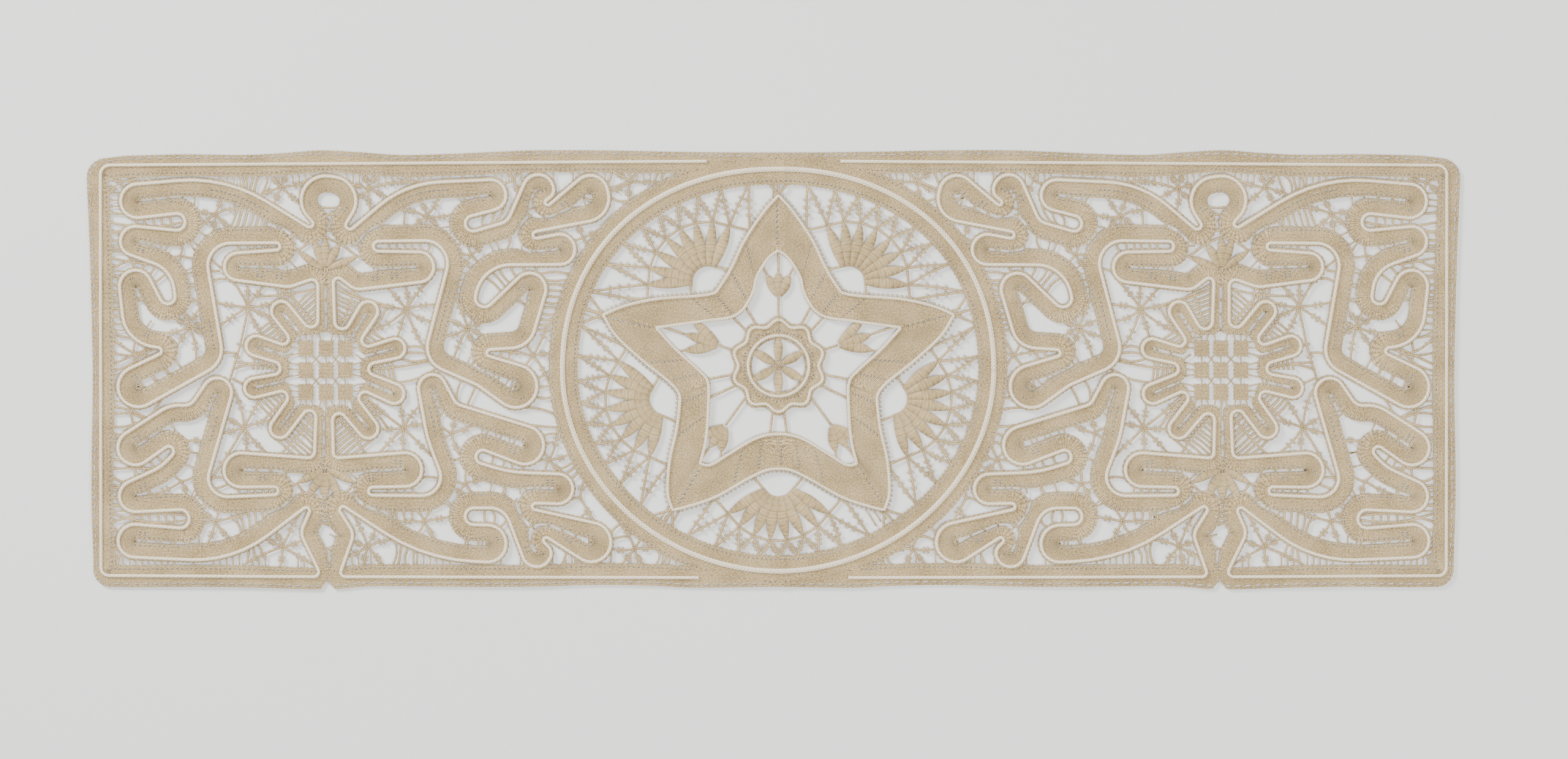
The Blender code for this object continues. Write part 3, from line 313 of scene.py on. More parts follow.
def holed_row(count, low, high, radii, span=1, opened=None):
    """A row of tiles with oval holes: a hole's point is middle + (along*cos a, across*sin a).

    The radii along and across are one pair, or a pair for every pin. Each hole is up to an eighth
    larger or smaller than the next. Where opened is False the tile stays plain.
    """
    first = np.arange(0, count - span + 1, span)
    opened = np.ones(len(first), bool) if opened is None else opened[first]
    rim, circle = tile(span)
    first = first[opened]
    size = 1 + 0.125 * chance.uniform(-1, 1, (len(first), 1, 2))
    radii = np.broadcast_to(radii, (count, 2))[first][:, None]
    hole = np.array((span / 2, 0.5)) + size * circle * radii
    both = np.stack([np.broadcast_to(rim, hole.shape), hole], 1)
    keys = np.stack([first[:, None, None] + both[..., 0], low + (high - low) * both[..., 1]], -1)
    number = np.arange(keys[..., 0].size).reshape(keys.shape[:3])
    out, inner = number[:, 0], number[:, 1]
    faces = np.stack([out, np.roll(out, -1, 1), np.roll(inner, -1, 1), inner], -1).reshape(-1, 4)
    keys = keys.reshape(-1, 2)
    shut = np.arange(0, count - span + 1, span)[~opened]
    if len(shut):
        u = (shut[:, None, None] + np.arange(3 * span)[:, None] / 3 + np.array((0, 1, 1, 0)) / 3).reshape(-1, 4)
        v = np.broadcast_to(np.array((low, low, high, high), float), u.shape)
        faces = np.vstack([faces, len(keys) + np.arange(u.size).reshape(-1, 4)])
        keys = np.vstack([keys, np.stack([u, v], -1).reshape(-1, 2)])
    return keys, faces


def join_rows(rows, wrap=0):
    """Put rows together, and make points that have the same u and v one point.

    On a closed tape u is counted modulo wrap, so that its end meets its start.
    """
    keys, faces, start = [], [], 0
    for row_keys, row_faces in rows:
        keys.append(row_keys)
        faces.append(row_faces + start)
        start += len(row_keys)
    keys = np.round(np.vstack(keys), 4)
    if wrap:
        keys[:, 0] = np.round(np.mod(keys[:, 0], wrap), 4)
    unique, number = np.unique(keys, axis=0, return_inverse=True)
    return unique, number.ravel()[np.vstack(faces)]


class Tape:
    """Cloth to the left of a line: place(u, v) = line(s(u)) + off * normal(s(u)).

    off is v times the width there, or v millimetres where v is below 0, on the gimp's other
    side. The pins stand an even pitch apart along the longer edge: where the line bends away
    from the cloth by k radians a millimetre, the free edge is 1 + k * width times as long.
    """

    def __init__(self, line, width, pitch):
        self.line, self.width = line, np.broadcast_to(width, line.s.shape)
        stretch = np.maximum(1.0, 1.0 - line.bend() * self.width)
        run = np.r_[0, np.cumsum(0.5 * (stretch[1:] + stretch[:-1]) * np.diff(line.s))]
        self.count = int(round(run[-1] / pitch / 2)) * 2
        self.pins = np.interp(np.linspace(0, run[-1], self.count + 1), run, line.s)
        self.wrap = self.count if line.closed else 0

    def along(self, u):
        return np.interp(u, np.arange(self.count + 1), self.pins)

    def off(self, u, v):
        scallop = np.where(v < -1, 0.24 * np.cos(pi * u) ** 2, 0.0)
        wide = np.interp(self.along(u), self.line.s, self.width)
        wide = wide + np.where((v == 1) & (wide > 7.5), 0.45 * np.cos(pi * u) ** 2 - 0.2, 0.0)
        return np.where(v < 0, v * (1 - scallop), v * wide)

    def place(self, u, v):
        return self.line.at(self.along(u), self.off(u, v))

    def weave(self, u, v):
        """Place in the weave. On a closed tape it runs out and back, so that the end meets the start."""
        along, length = self.along(u), self.pins[-1]
        return np.stack([length / 2 - abs(along - length / 2) if self.wrap else along, self.off(u, v)], -1)

    def edge_steps(self):
        """Length of the free edge from each pin to the next."""
        ends = self.place(np.arange(self.count + 1.0), np.ones(self.count + 1))
        return np.hypot(*np.diff(ends, axis=0).T)

    def cloth_points(self):
        """A close grid of points all over the cloth, to mark it on the stencil."""
        u, v = np.meshgrid(np.arange(0, self.count, 0.09), np.r_[-1.4, -1.2, -1, -0.5, np.linspace(0, 1, 34)])
        return self.place(u.ravel(), v.ravel())


tape_room = scroll_line.room()
tape_width = np.clip(tape_room - 0.7, 0.2, 8.2)
# Round the rosette the cloth stops at the window |x/a|**4 + |y/a|**4 = 1
offs = np.linspace(0, 8.2, 50)
x, y = np.moveaxis(scroll_line.at(scroll_line.s[:, None], offs) - ROSETTE_CENTRE, 2, 0) / ROSETTE_WINDOW
in_window = x ** 4 + y ** 4 < 1
tape_width = np.where(in_window.any(1), np.minimum(tape_width, offs[in_window.argmax(1)]), tape_width)
tape_width = np.minimum(tape_width, np.convolve(np.pad(tape_width, 3, "edge"), np.ones(7) / 7, "valid"))
scroll_tape = Tape(scroll_line, tape_width, 2.45)
print("pins along one scroll:", scroll_tape.count)

# %% [markdown]
# ## From arrays to pieces
#
# Every piece below is an array of points and an array of four-cornered faces. One function turns them
# into a Blender object. It also keeps, for each point, how far along and across the thread work it
# lies, as an attribute named weave, so that the finish can follow the threads round every bend.

# %% Make a piece
pieces = {}


def new_piece(name, points, height, faces, weave, finish, slot, thick=0.0, smooth=True):
    """Make a mesh of points (n, 2) at a height (n), with faces (m, 4), and the attribute weave (n, 2)."""
    used, faces = np.unique(faces, return_inverse=True)
    faces = faces.reshape(-1, 4)
    points, height, weave = points[used], height[used], weave[used]
    x, y = points.T
    places = np.c_[(points - CENTRE) * MM, (height + cockle(x, y)) * MM]
    mesh = bpy.data.meshes.new(name)
    mesh.from_pydata(places.tolist(), [], faces.tolist())
    mesh.polygons.foreach_set("use_smooth", np.full(len(mesh.polygons), smooth))
    threads = mesh.attributes.new("weave", "FLOAT_VECTOR", "POINT")
    threads.data.foreach_set("vector", np.c_[weave, np.zeros(len(weave))].ravel())
    mesh.update()
    piece = bpy.data.objects.new(name, mesh)
    collection.objects.link(piece)
    piece.data.materials.append(finish)
    if thick:
        solid = piece.modifiers.new("thickness", "SOLIDIFY")
        solid.thickness = thick * MM
        solid.offset = 0
    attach(piece, "root")
    pieces[name] = piece
    print(name, len(faces), "faces")
    return piece


def gather(parts):
    """Join several (points, height, faces, weave) into one."""
    starts = np.cumsum([0] + [len(part[0]) for part in parts[:-1]])
    faces = np.vstack([part[2] + start for part, start in zip(parts, starts)])
    return (np.vstack([part[0] for part in parts]), np.concatenate([part[1] for part in parts]), faces,
            np.vstack([part[3] for part in parts]))


def mirror(part, axis=0.0):
    """Mirror a part across the upright line x = axis. Its faces are turned round to stay outwards."""
    points, height, faces, weave = part
    return points * (-1, 1) + (2 * axis, 0), height, faces[:, ::-1], weave


# %% [markdown]
# ## Finishes
#
# Linen cloth stitch is a plain weave: one set of threads runs along the tape and the other goes over
# and under it. An image texture would need a photograph of cloth. Here the weave is worked out from the
# weave attribute by sines, so it is sharp at any size. The finish is written as Python expressions on a
# small class that wraps a shader socket.

# %% Shader expressions


class Wire:
    """A shader socket that arithmetic can be written on."""

    def __init__(self, finish, socket):
        self.finish, self.socket = finish, socket

    def math(self, operation, *values):
        return self.finish.node("ShaderNodeMath", {"operation": operation}, dict(enumerate(values)))

    def __add__(self, other):
        return self.math("ADD", self, other)

    def __sub__(self, other):
        return self.math("SUBTRACT", self, other)

    def __rsub__(self, other):
        return self.math("SUBTRACT", other, self)

    def __mul__(self, other):
        return self.math("MULTIPLY", self, other)

    def __truediv__(self, other):
        return self.math("DIVIDE", self, other)

    __radd__ = __add__
    __rmul__ = __mul__

    def sin(self):
        return self.math("SINE", self)

    def abs(self):
        return self.math("ABSOLUTE", self)

    def fit(self, low, high):
        """Stretch the range low to high onto 0 to 1, and cut off what is beyond."""
        return self.finish.node("ShaderNodeMapRange", {}, {"Value": self, "From Min": low, "From Max": high})


class Finish:
    """A cloth material whose nodes are written as expressions."""

    def __init__(self, name):
        self.material = bpy.data.materials.new(name)
        self.material.use_nodes = True
        self.shader = self.material.node_tree.nodes["Principled BSDF"]
        threads = self.node("ShaderNodeAttribute", {"attribute_name": "weave"}, {}, "Vector")
        self.threads = threads
        self.along = self.node("ShaderNodeSeparateXYZ", {}, {"Vector": threads}, "X")
        self.across = self.node("ShaderNodeSeparateXYZ", {}, {"Vector": threads}, "Y")
        self.place = self.node("ShaderNodeTexCoord", {}, {}, "Object")

    def node(self, kind, settings, values, output=0):
        """Add a node, set its settings, then its sockets, and return one of its outputs."""
        node = self.material.node_tree.nodes.new(kind)
        for key, value in settings.items():
            setattr(node, key, value)
        for key, value in values.items():
            if isinstance(value, Wire):
                self.material.node_tree.links.new(value.socket, node.inputs[key])
            else:
                node.inputs[key].default_value = value
        return Wire(self, node.outputs[output])

    def noise(self, vector, scale, detail=2.0):
        return self.node("ShaderNodeTexNoise", {}, {"Vector": vector, "Scale": scale, "Detail": detail})

    def blend(self, factor, first, second):
        """Mix two colours by a factor."""
        sockets = {0: factor, 6: first, 7: second}
        return self.node("ShaderNodeMix", {"data_type": "RGBA"}, sockets, 2)

    def set(self, colour, relief, depth, roughness=0.92):
        """Link the colour, and the relief through a bump that is depth millimetres deep."""
        links = self.material.node_tree.links
        links.new(colour.socket, self.shader.inputs["Base Color"])
        bump = self.node("ShaderNodeBump", {}, {"Height": relief, "Distance": depth * MM, "Strength": 1.0})
        links.new(bump.socket, self.shader.inputs["Normal"])
        self.shader.inputs["Roughness"].default_value = roughness
        self.shader.inputs["Specular IOR Level"].default_value = 0.18
        self.shader.inputs["Sheen Weight"].default_value = 0.12
        self.shader.inputs["Sheen Roughness"].default_value = 0.5
        return self.material


# %% [markdown]
# ### Linen and cream cord
#
# The ground is unbleached linen, a greyed beige with painted shade down between the threads, a little
# uneven from thread to thread, and touched here and there with faint brown stains. The gimp is a paler,
# softer cord, with painted shade in the grooves between its plies.

# %% Linen colours and weaves
LINEN = (0.355, 0.246, 0.112, 1)
LINEN_PALE = (0.750, 0.575, 0.315, 1)
# Painted shade: the dark beige that is put where the weave is low, between the threads
LINEN_PAINTED_SHADE = (0.085, 0.050, 0.019, 1)
STAIN = (0.330, 0.200, 0.085, 1)
CREAM = (0.880, 0.775, 0.590, 1)
# Painted shade: the dark cream that is put in the grooves between the cord's plies
CREAM_PAINTED_SHADE = (0.520, 0.415, 0.260, 1)


def linen_colour(finish, relief):
    """Beige with painted shade where the relief is low, patchy at two sizes, with a few stains."""
    patch = finish.noise(finish.place, 60.0, 3.0)
    slub = finish.noise(finish.threads, 1.1, 2.0)
    tone = finish.blend(patch.fit(0.35, 0.65) * 0.35 + slub.fit(0.35, 0.65) * 0.65, LINEN, LINEN_PALE)
    tone = finish.blend(finish.noise(finish.place, 24.0, 3.0).fit(0.66, 0.80) * 0.45, tone, STAIN)
    # Painted shade: the colour goes to the dark beige where the relief is low, down between the threads
    return finish.blend(relief.fit(0.05, 0.75), LINEN_PAINTED_SHADE, tone)


def cloth_finish(name, thread_along=0.72, thread_across=0.62):
    """Plain weave. Each set of threads is a row of half waves, |sin|, and which set is on top
    goes by the product of the two sines, so over and under change places like a chessboard."""
    finish = Finish(name)
    wander = finish.noise(finish.threads, 1.3, 1.0) * 0.5 - 0.25
    a = ((finish.along + wander) * (pi / thread_across)).sin()
    b = ((finish.across + wander) * (pi / thread_along)).sin()
    over = (a * b) * 0.5 + 0.5
    relief = a.abs() * over + b.abs() * (1 - over)
    return finish.set(linen_colour(finish, relief), relief, 0.22)


def plait_finish(name):
    """A plait: strands that cross on the slant, |sin(along + across)| and |sin(along - across)|."""
    finish = Finish(name)
    a = (finish.along * 2.9 + finish.across * 2.2).sin().abs()
    b = (finish.along * 2.9 - finish.across * 2.2).sin().abs()
    relief = a * 0.5 + b * 0.5
    return finish.set(linen_colour(finish, relief + 0.1), relief, 0.2)


def leaf_finish(name):
    """A woven leaf: close turns of one thread across it, over a few threads that run along it."""
    finish = Finish(name)
    turns = ((finish.along + finish.noise(finish.threads, 1.1, 1.0) * 0.7) * (pi / 0.52)).sin().abs()
    cores = (finish.across * (pi / 1.25)).sin().abs()
    relief = turns * 0.65 + cores * 0.35
    return finish.set(linen_colour(finish, relief + 0.15), relief, 0.24)


def cord_finish(name, twist):
    """A cream cord of two plies: its relief is |sin| of the way along plus the way round, and its colour has
    painted shade where the relief is low.
    """
    finish = Finish(name)
    plies = ((finish.along * (1 / twist) + finish.across) * pi).sin().abs()
    fibres = finish.noise(finish.threads, 3.0, 2.0)
    relief = plies * 0.5 + fibres * 0.5
    tone = finish.blend(finish.noise(finish.place, 45.0, 3.0).fit(0.6, 0.8) * 0.5, CREAM, LINEN_PALE)
    # Painted shade: the cream darkens where the relief is low, in the grooves between the plies
    colour = finish.blend(relief.fit(0.1, 0.6), CREAM_PAINTED_SHADE, tone)
    return finish.set(colour, relief, 0.14, 0.85)


cloth = cloth_finish("linen_cloth_stitch")
plait = plait_finish("linen_plait")
leaf_weave = leaf_finish("linen_woven_leaf")
soft_cord = cord_finish("cream_gimp_soft", 2.4)
twisted_cord = cord_finish("cream_gimp_twisted", 1.5)
print("finishes:", [material.name for material in bpy.data.materials if material.users == 0])

# %% [markdown]
# ## Scroll tapes
#
# Now the first piece of lace. Across the tape, from the gimp: a scalloped rim of thread loops outside
# the cord, plain cloth, and a row of pinholes just inside the free edge. Where the tape turns round the
# tip of a lobe its free edge shrinks to nothing, and a pin would have no room, so those tiles stay shut.

# %% Work the scroll tapes


def work(tape, rows, height):
    """Lay rows of tiles on a tape and return its points, heights, faces and weave."""
    keys, faces = join_rows(rows, tape.wrap)
    u, v = keys.T
    return tape.place(u, v), np.full(len(u), float(height)), faces, tape.weave(u, v)


# Places where the cloth has a small group of holes: x, y
HOLE_GROUPS = [
    (-325, 84), (-323, 62), (-327, 47), (-318, 22), (-325, -4), (-322, -36), (-318, -62), (-320, -84),
    (-262, 52), (-254, 50), (-276, -51), (-262, -53), (-263, -8), (-262, 12), (-244, -32), (-234, 86),
    (-131, 92), (-106, 84), (-104, 66), (-128, 43), (-130, 20), (-130, -12), (-134, -42), (-112, -60),
    (-196, 52), (-206, 50), (-190, -50), (-206, -53), (-104, -84), (-124, -88), (-140, -86), (-222, 84),
]
# Rows of holes along the middle of the tape: x, y at both ends
HOLE_ROWS = [
    (-288, 92.9, -258, 82.9), (-195, 83.2, -166.6, 92.5), (-285.6, 29, -285.6, 12),
    (-281, -23, -284.6, -36.5), (-173, 41, -172, 15), (-176, -20, -172, -36),
]
n = scroll_tape.count
pin_room = scroll_tape.edge_steps() > 1.15
middles = scroll_tape.place(np.arange(n) + 0.5, np.full(n, 0.5))


def nearest_pin(place):
    """The pin whose tile is nearest to a point of the chart."""
    return int(np.hypot(*(middles - place).T).argmin())


grouped, in_row = np.zeros(n, bool), np.zeros(n, bool)
for place in HOLE_GROUPS:
    grouped[nearest_pin(place):][:2] = True
for ax, ay, bx, by in HOLE_ROWS:
    low, high = sorted((nearest_pin((ax, ay)), nearest_pin((bx, by))))
    in_row[low:high] = high - low < 20
scroll_rows = [
    plain_row(n, -1.7, 0), plain_row(n, 0, 0.4),
    holed_row(n, 0.4, 0.57, (0.27, 0.38), opened=grouped | in_row),
    holed_row(n, 0.57, 0.74, (0.27, 0.36), opened=grouped & pin_room),
    holed_row(n, 0.74, 0.95, (0.22, 0.31), opened=pin_room), plain_row(n, 0.95, 1),
]
points, height, faces, weave = work(scroll_tape, scroll_rows, 0.78)
in_border = (points[faces][..., 1] < -101.5).all(1)
scroll_cloth = points, height, faces[~in_border], weave
for side, part in (("left", scroll_cloth), ("right", mirror(scroll_cloth))):
    piece = new_piece(f"scroll_cloth_{side}", *part, cloth, "linen_ground", THICKNESS, False)
    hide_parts("ground")

# %% [markdown]
# ## Stencil of the cloth
#
# Plaits and bars run until they meet cloth. Their ends could be typed in, but there are over a thousand.
# Instead the cloth is marked on a fine grid, a stencil, and each bar is a ray that stops at the first
# marked square.

# %% Stencil and rays


class Stencil:
    """A grid of quarter-millimetre squares over the chart, True where cloth has been marked."""

    CELL = 0.25

    def __init__(self):
        self.grid = np.zeros((960, 2880), bool)

    def squares(self, x, y):
        column = np.clip(np.round((x + 360) / self.CELL).astype(int), 0, 2879)
        row = np.clip(np.round((y + 120) / self.CELL).astype(int), 0, 959)
        return row, column

    def mark(self, points):
        self.grid[self.squares(*points.T)] = True

    def mark_both(self, points):
        self.mark(points)
        self.mark(points * (-1, 1))

    def reach(self, starts, degrees, first, furthest=45.0):
        """How far each ray goes from its start before it meets cloth, from first on."""
        travel = np.arange(first, furthest, 0.15)
        x = starts[:, 0, None] + np.cos(np.radians(degrees))[:, None] * travel
        y = starts[:, 1, None] + np.sin(np.radians(degrees))[:, None] * travel
        met = self.grid[self.squares(x, y)]
        return np.where(met.any(1), travel[met.argmax(1)], 0.0)


stencil = Stencil()
stencil.mark_both(scroll_tape.cloth_points())
print("cloth marked on the stencil, square mm:", int(stencil.grid.sum() * Stencil.CELL ** 2))

# %% [markdown]
# ## Border
#
# The border is one band of cloth stitch 10.6 mm wide round all four sides. It has a row of long
# eyelets just inside the cut edge, the gimp along its middle, and pinholes by its inner edge. At the
# two notches of the lower edge the cut edge dips inwards, which is done by moving the tiles' outer
# points in, not by bending the whole band.

# %% Work the border
BORDER_WIDTH = 10.6
NOTCHES = (-227.5, 227.5)
NOTCH_DEPTH, NOTCH_HALF = 5.0, 3.6


class Border(Tape):
    """The border band: off = dip + v * (width - dip), where dip is the depth of a notch there."""

    def off(self, u, v):
        x, y = self.line.at(self.along(u)).T if np.ndim(u) else self.line.at(self.along(u))
        near = np.minimum(np.abs(x - NOTCHES[0]), np.abs(x - NOTCHES[1]))
        dip = np.where(y < 0, NOTCH_DEPTH * np.clip(1 - near / NOTCH_HALF, 0, 1), 0)
        wide = np.interp(self.along(u), self.line.s, self.width)
        scallop = 0.3 * np.abs(np.sin(pi * u))
        return dip + v * (wide - dip) + np.where(v == 1, scallop, np.where(v == 0, -scallop, 0.0))


border_width = np.minimum(BORDER_WIDTH, edge_line.room() - 0.3)
border_tape = Border(edge_line, border_width, 2.45)
n = border_tape.count
border_rows = [
    plain_row(n, 0, 0.055), holed_row(n, 0.055, 0.2, (0.66, 0.32), span=2), plain_row(n, 0.2, 0.79),
    holed_row(n, 0.79, 0.94, (0.22, 0.31)), plain_row(n, 0.94, 1),
]
RING_CENTRE = (2.3, 0.3)
RING_HALF = (110.0, 102.5)


def ring_power(y):
    """The ring is a little squarer above than below: |x/a|**p + |y/b|**p = 1."""
    return np.where(y > RING_CENTRE[1], 2.15, 1.97)


def under_ring(points, margin):
    """Tell which points lie inside the ring's line made larger by a margin."""
    x, y = np.abs(points - RING_CENTRE).T / (np.array(RING_HALF)[:, None] + margin)
    power = ring_power(points[:, 1])
    return x ** power + y ** power < 1


points, height, faces, weave = work(border_tape, border_rows, 0.70)
faces = faces[~under_ring(points, 6.0)[faces].all(1)]
piece = new_piece("border_cloth", points, height, faces, weave, cloth, "linen_ground", THICKNESS, False)
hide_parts("ground")
stencil.mark(border_tape.cloth_points())

# %% [markdown]
# ## Ring
#
# The ring is a band of cloth stitch with pinholes along both edges and a plaited gimp near its middle.
# Its line is a circle that is slightly flattened into a square, the shape the worked piece has.

# %% Work the ring


def ring_points(steps):
    """Points of |x/a|**p + |y/b|**p = 1: a circle's, pushed out by (|cos|**p + |sin|**p)**(-1/p)."""
    t = np.linspace(0, 2 * pi, steps, endpoint=False)
    power = ring_power(RING_CENTRE[1] + np.sin(t))
    scale = (np.abs(np.cos(t)) ** power + np.abs(np.sin(t)) ** power) ** (-1 / power)
    return RING_CENTRE + np.array(RING_HALF) * np.c_[scale * np.cos(t), scale * np.sin(t)]


class Band(Tape):
    """A tape whose v is in millimetres on both sides of its line, with scallops on its two edges."""

    def off(self, u, v):
        edge = (v <= self.low) | (v >= self.high)
        return v * (1 - np.where(edge, self.scallop * np.cos(pi * u) ** 2, 0.0))

    def cloth_points(self):
        u, v = np.meshgrid(np.arange(0, self.count, 0.09), np.arange(self.low + 0.3, self.high - 0.2, 0.2))
        return self.place(u.ravel(), v.ravel())


ring_line = Line(ring_points(360), closed=True)
ring_tape = Band(ring_line, 0.0, 2.45)
ring_tape.low, ring_tape.high, ring_tape.scallop = -7.3, 8.2, 0.1
n = ring_tape.count
ring_rows = [
    plain_row(n, -7.3, -6.3), holed_row(n, -6.3, -4.9, (0.21, 0.34)), plain_row(n, -4.9, 0),
    plain_row(n, 0, 5.2), holed_row(n, 5.2, 6.7, (0.21, 0.34)), plain_row(n, 6.7, 8.2),
]
piece = new_piece("ring_cloth", *work(ring_tape, ring_rows, 0.86), cloth, "linen_ground", THICKNESS, False)
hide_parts("ground")
stencil.mark(ring_tape.cloth_points())

# %% [markdown]
# ## Star
#
# The star is one band of plain cloth with a sharp tip at each arm. Its outer and inner edges are two
# separate curves, and the threads run straight from one to the other: a point is a blend of the two
# edges. Rows of slits cross the band where the worker left pairs apart, and round holes mark the mitres.

# %% Work the star
STAR_AXIS = 2.5
# Left half of the star's two edges: x, y, 1 at a corner
STAR_OUTSIDE = [
    (2.5, 89.5, 1), (-5, 81, 0), (-14.5, 67, 0), (-21, 53.5, 0), (-25, 46.5, 0), (-29.5, 39.8, 1),
    (-37, 38.3, 0), (-60, 36.5, 0), (-76, 33, 0), (-87, 28.5, 1), (-80, 17.5, 0), (-66, 4.5, 0),
    (-54, -5, 0), (-48.3, -11.5, 0), (-48, -18, 0), (-49.5, -30, 0), (-53, -46, 0), (-54, -62, 0),
    (-51.5, -71, 1), (-45, -69.5, 0), (-30, -64.5, 0), (-13, -55, 0), (-4, -50.8, 0), (2.5, -50, 0),
]
STAR_INSIDE = [
    (2.5, 61.5, 1), (-3, 57, 0), (-8.5, 48, 0), (-10.5, 40, 0), (-15.5, 31.5, 0), (-22, 27.3, 0),
    (-35, 25.4, 0), (-60, 22, 1), (-50, 11, 0), (-38, 0, 0), (-33.5, -6, 0), (-33.3, -18, 0),
    (-34.5, -35, 0), (-37.5, -47.5, 1), (-32, -48, 0), (-22, -42, 0), (-9, -34.5, 0),
    (2.5, -32.3, 0),
]
STAR_PITCH = 2.45
SECTOR_PINS = 48
# Places of the slit rows in a sector, as parts of its length
SLITS = {
    "top": (0.23, 0.38, 0.5, 0.62),
    "side": (0.28, 0.41, 0.53, 0.67),
    "bottom": (0.28, 0.4, 0.5, 0.6, 0.72),
}


def star_edge(table, step=1.0):
    """Closed edge of the star from its left half."""
    half = [(x, y) for x, y, corner in table]
    corners = [i for i, row in enumerate(table) if row[2]]
    right = [(2 * STAR_AXIS - x, y) for x, y in half[-2:0:-1]]
    last = 2 * (len(half) - 1)
    corners += [last - i for i in corners if i > 0]
    return smooth_curve(half + right, step, True, tuple(corners))


def split_at(curve, tips):
    """Cut a closed curve into the runs from each tip to the next, each in even steps."""
    at = [int(np.hypot(*(curve - tip).T).argmin()) for tip in tips]
    runs = []
    for start, end in zip(at, at[1:] + at[:1]):
        run = curve[start:end + 1] if end > start else np.vstack([curve[start:], curve[:end + 1]])
        s = np.r_[0, np.cumsum(np.hypot(*np.diff(run, axis=0).T))]
        even = np.linspace(0, s[-1], SECTOR_PINS * 6 + 1)
        runs.append(np.c_[np.interp(even, s, run[:, 0]), np.interp(even, s, run[:, 1])][:-1])
    return np.vstack(runs)


class Between:
    """Cloth between two closed edges: place(u, v) = outer(u) + off * (inner(u) - outer(u)) / width(u).

    off is v * width. Below 0 and above 1, v goes on in millimetres beyond the edge.
    """

    def __init__(self, outer, inner, count):
        self.count = self.wrap = count
        self.u = np.linspace(0, count, len(outer) + 1)
        self.outer = np.vstack([outer, outer[:1]])
        self.step = np.vstack([inner, inner[:1]]) - self.outer
        self.width = np.hypot(*self.step.T)
        self.step /= self.width[:, None]
        ahead = np.roll(outer, -1, 0) - np.roll(outer, 1, 0)
        lean = np.abs((ahead * self.step[:-1]).sum(1)) / np.hypot(*ahead.T)
        lean = np.max([np.roll(lean, 1), lean, np.roll(lean, -1)], 0)
        self.lean = np.append(lean, lean[0])

    def read(self, u, columns):
        return np.stack([np.interp(u, self.u, column) for column in columns.T], -1)

    def off(self, u, v):
        wide = np.interp(u, self.u, self.width)
        scallop = np.where((v < -1) | (v > 2), 0.3 * np.cos(pi * u) ** 2, 0.0)
        return np.where(v < 0, v * (1 - scallop), np.where(v > 1, wide + (v - 1) * (1 - scallop), v * wide))

    def place(self, u, v):
        return self.read(u, self.outer) + self.off(u, v)[..., None] * self.read(u, self.step)

    def weave(self, u, v):
        """Along and square to the outer edge, because the rows of points cross the band aslant at a tip.

        The distance along is counted from the nearest tip, so the weave meets its mirror image there.
        """
        from_tip = STAR_PITCH * np.abs((u + SECTOR_PINS / 2) % SECTOR_PINS - SECTOR_PINS / 2)
        lean = np.interp(u, self.u, self.lean)
        off = self.off(u, v)
        return np.stack([from_tip + off * lean, off * np.sqrt(1 - lean ** 2)], -1)

    def cloth_points(self):
        u, v = np.meshgrid(np.arange(0, self.count, 0.08), np.r_[-1.0, -0.5, np.linspace(0, 1, 99), 1.5, 2.0])
        return self.place(u.ravel(), v.ravel())


def both_halves(places):
    """Tips of the left half with their mirror images, going round anticlockwise from the top."""
    return [places[0], *places[1:], *((2 * STAR_AXIS - x, y) for x, y in places[:0:-1])]


star_outer, star_inner = star_edge(STAR_OUTSIDE), star_edge(STAR_INSIDE)
outer_tips = both_halves([(2.5, 89.5), (-87, 28.5), (-51.5, -71)])
inner_tips = both_halves([(2.5, 61.5), (-60, 22), (-37.5, -47.5)])
star_band = Between(split_at(star_outer, outer_tips), split_at(star_inner, inner_tips), 5 * SECTOR_PINS)
slit = np.zeros(star_band.count, bool)
for number, sector in enumerate(("top", "side", "bottom", "side", "top")):
    for part in SLITS[sector]:
        part = part if number < 3 else 1 - part
        slit[int(SECTOR_PINS * (number + part))] = True
mitre = np.zeros(star_band.count, bool)
mitre[::SECTOR_PINS] = True
radii = np.where(mitre[:, None], (0.42, 0.24), (0.42, 0.2))
n = star_band.count
levels = np.linspace(0, 1, 11)
star_rows = [plain_row(n, -1.3, 0), plain_row(n, 0, 0.1), plain_row(n, 0.9, 1), plain_row(n, 1, 2.3)]
for low, high in zip(levels[1:-2], levels[2:-1]):
    star_rows.append(holed_row(n, low, high, radii, opened=slit | mitre))
star_cloth = work(star_band, star_rows, 0.78)
piece = new_piece("star_cloth", *star_cloth, cloth, "linen_ground", THICKNESS, False)
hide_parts("ground")
stencil.mark(star_band.cloth_points())

# %% [markdown]
# ## Flower
#
# A round flower fills the star: a scalloped band of the same cloth, six woven leaves and a small eye.

# %% Work the flower
FLOWER_CENTRE = np.array((2.5, 2.5))
FLOWER_RADIUS, FLOWER_WAVE, FLOWER_HOLE, FLOWER_SCALLOPS = 23.0, 1.5, 14.5, 10
FLOWER_PINS = 60


def flower_edge(radius, wave, steps=FLOWER_PINS * 6):
    """A round edge with r = radius + wave * cos(10 (t - pi/2))."""
    t = np.linspace(0, 2 * pi, steps, endpoint=False) + pi / 2
    r = radius + wave * np.cos(FLOWER_SCALLOPS * (t - pi / 2))
    return FLOWER_CENTRE + r[:, None] * np.c_[np.cos(t), np.sin(t)]


flower_band = Between(flower_edge(FLOWER_RADIUS, FLOWER_WAVE), flower_edge(FLOWER_HOLE, 0.0), FLOWER_PINS)
n = FLOWER_PINS
flower_rows = [
    plain_row(n, -1.1, 0), plain_row(n, 0, 0.3), plain_row(n, 0.3, 0.5),
    holed_row(n, 0.5, 0.75, (0.2, 0.26)), plain_row(n, 0.75, 1), plain_row(n, 1, 2.1),
]
flower_cloth = work(flower_band, flower_rows, 0.78)
piece = new_piece("flower_cloth", *flower_cloth, cloth, "linen_ground", THICKNESS, False)
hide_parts("ground")
stencil.mark(flower_band.cloth_points())

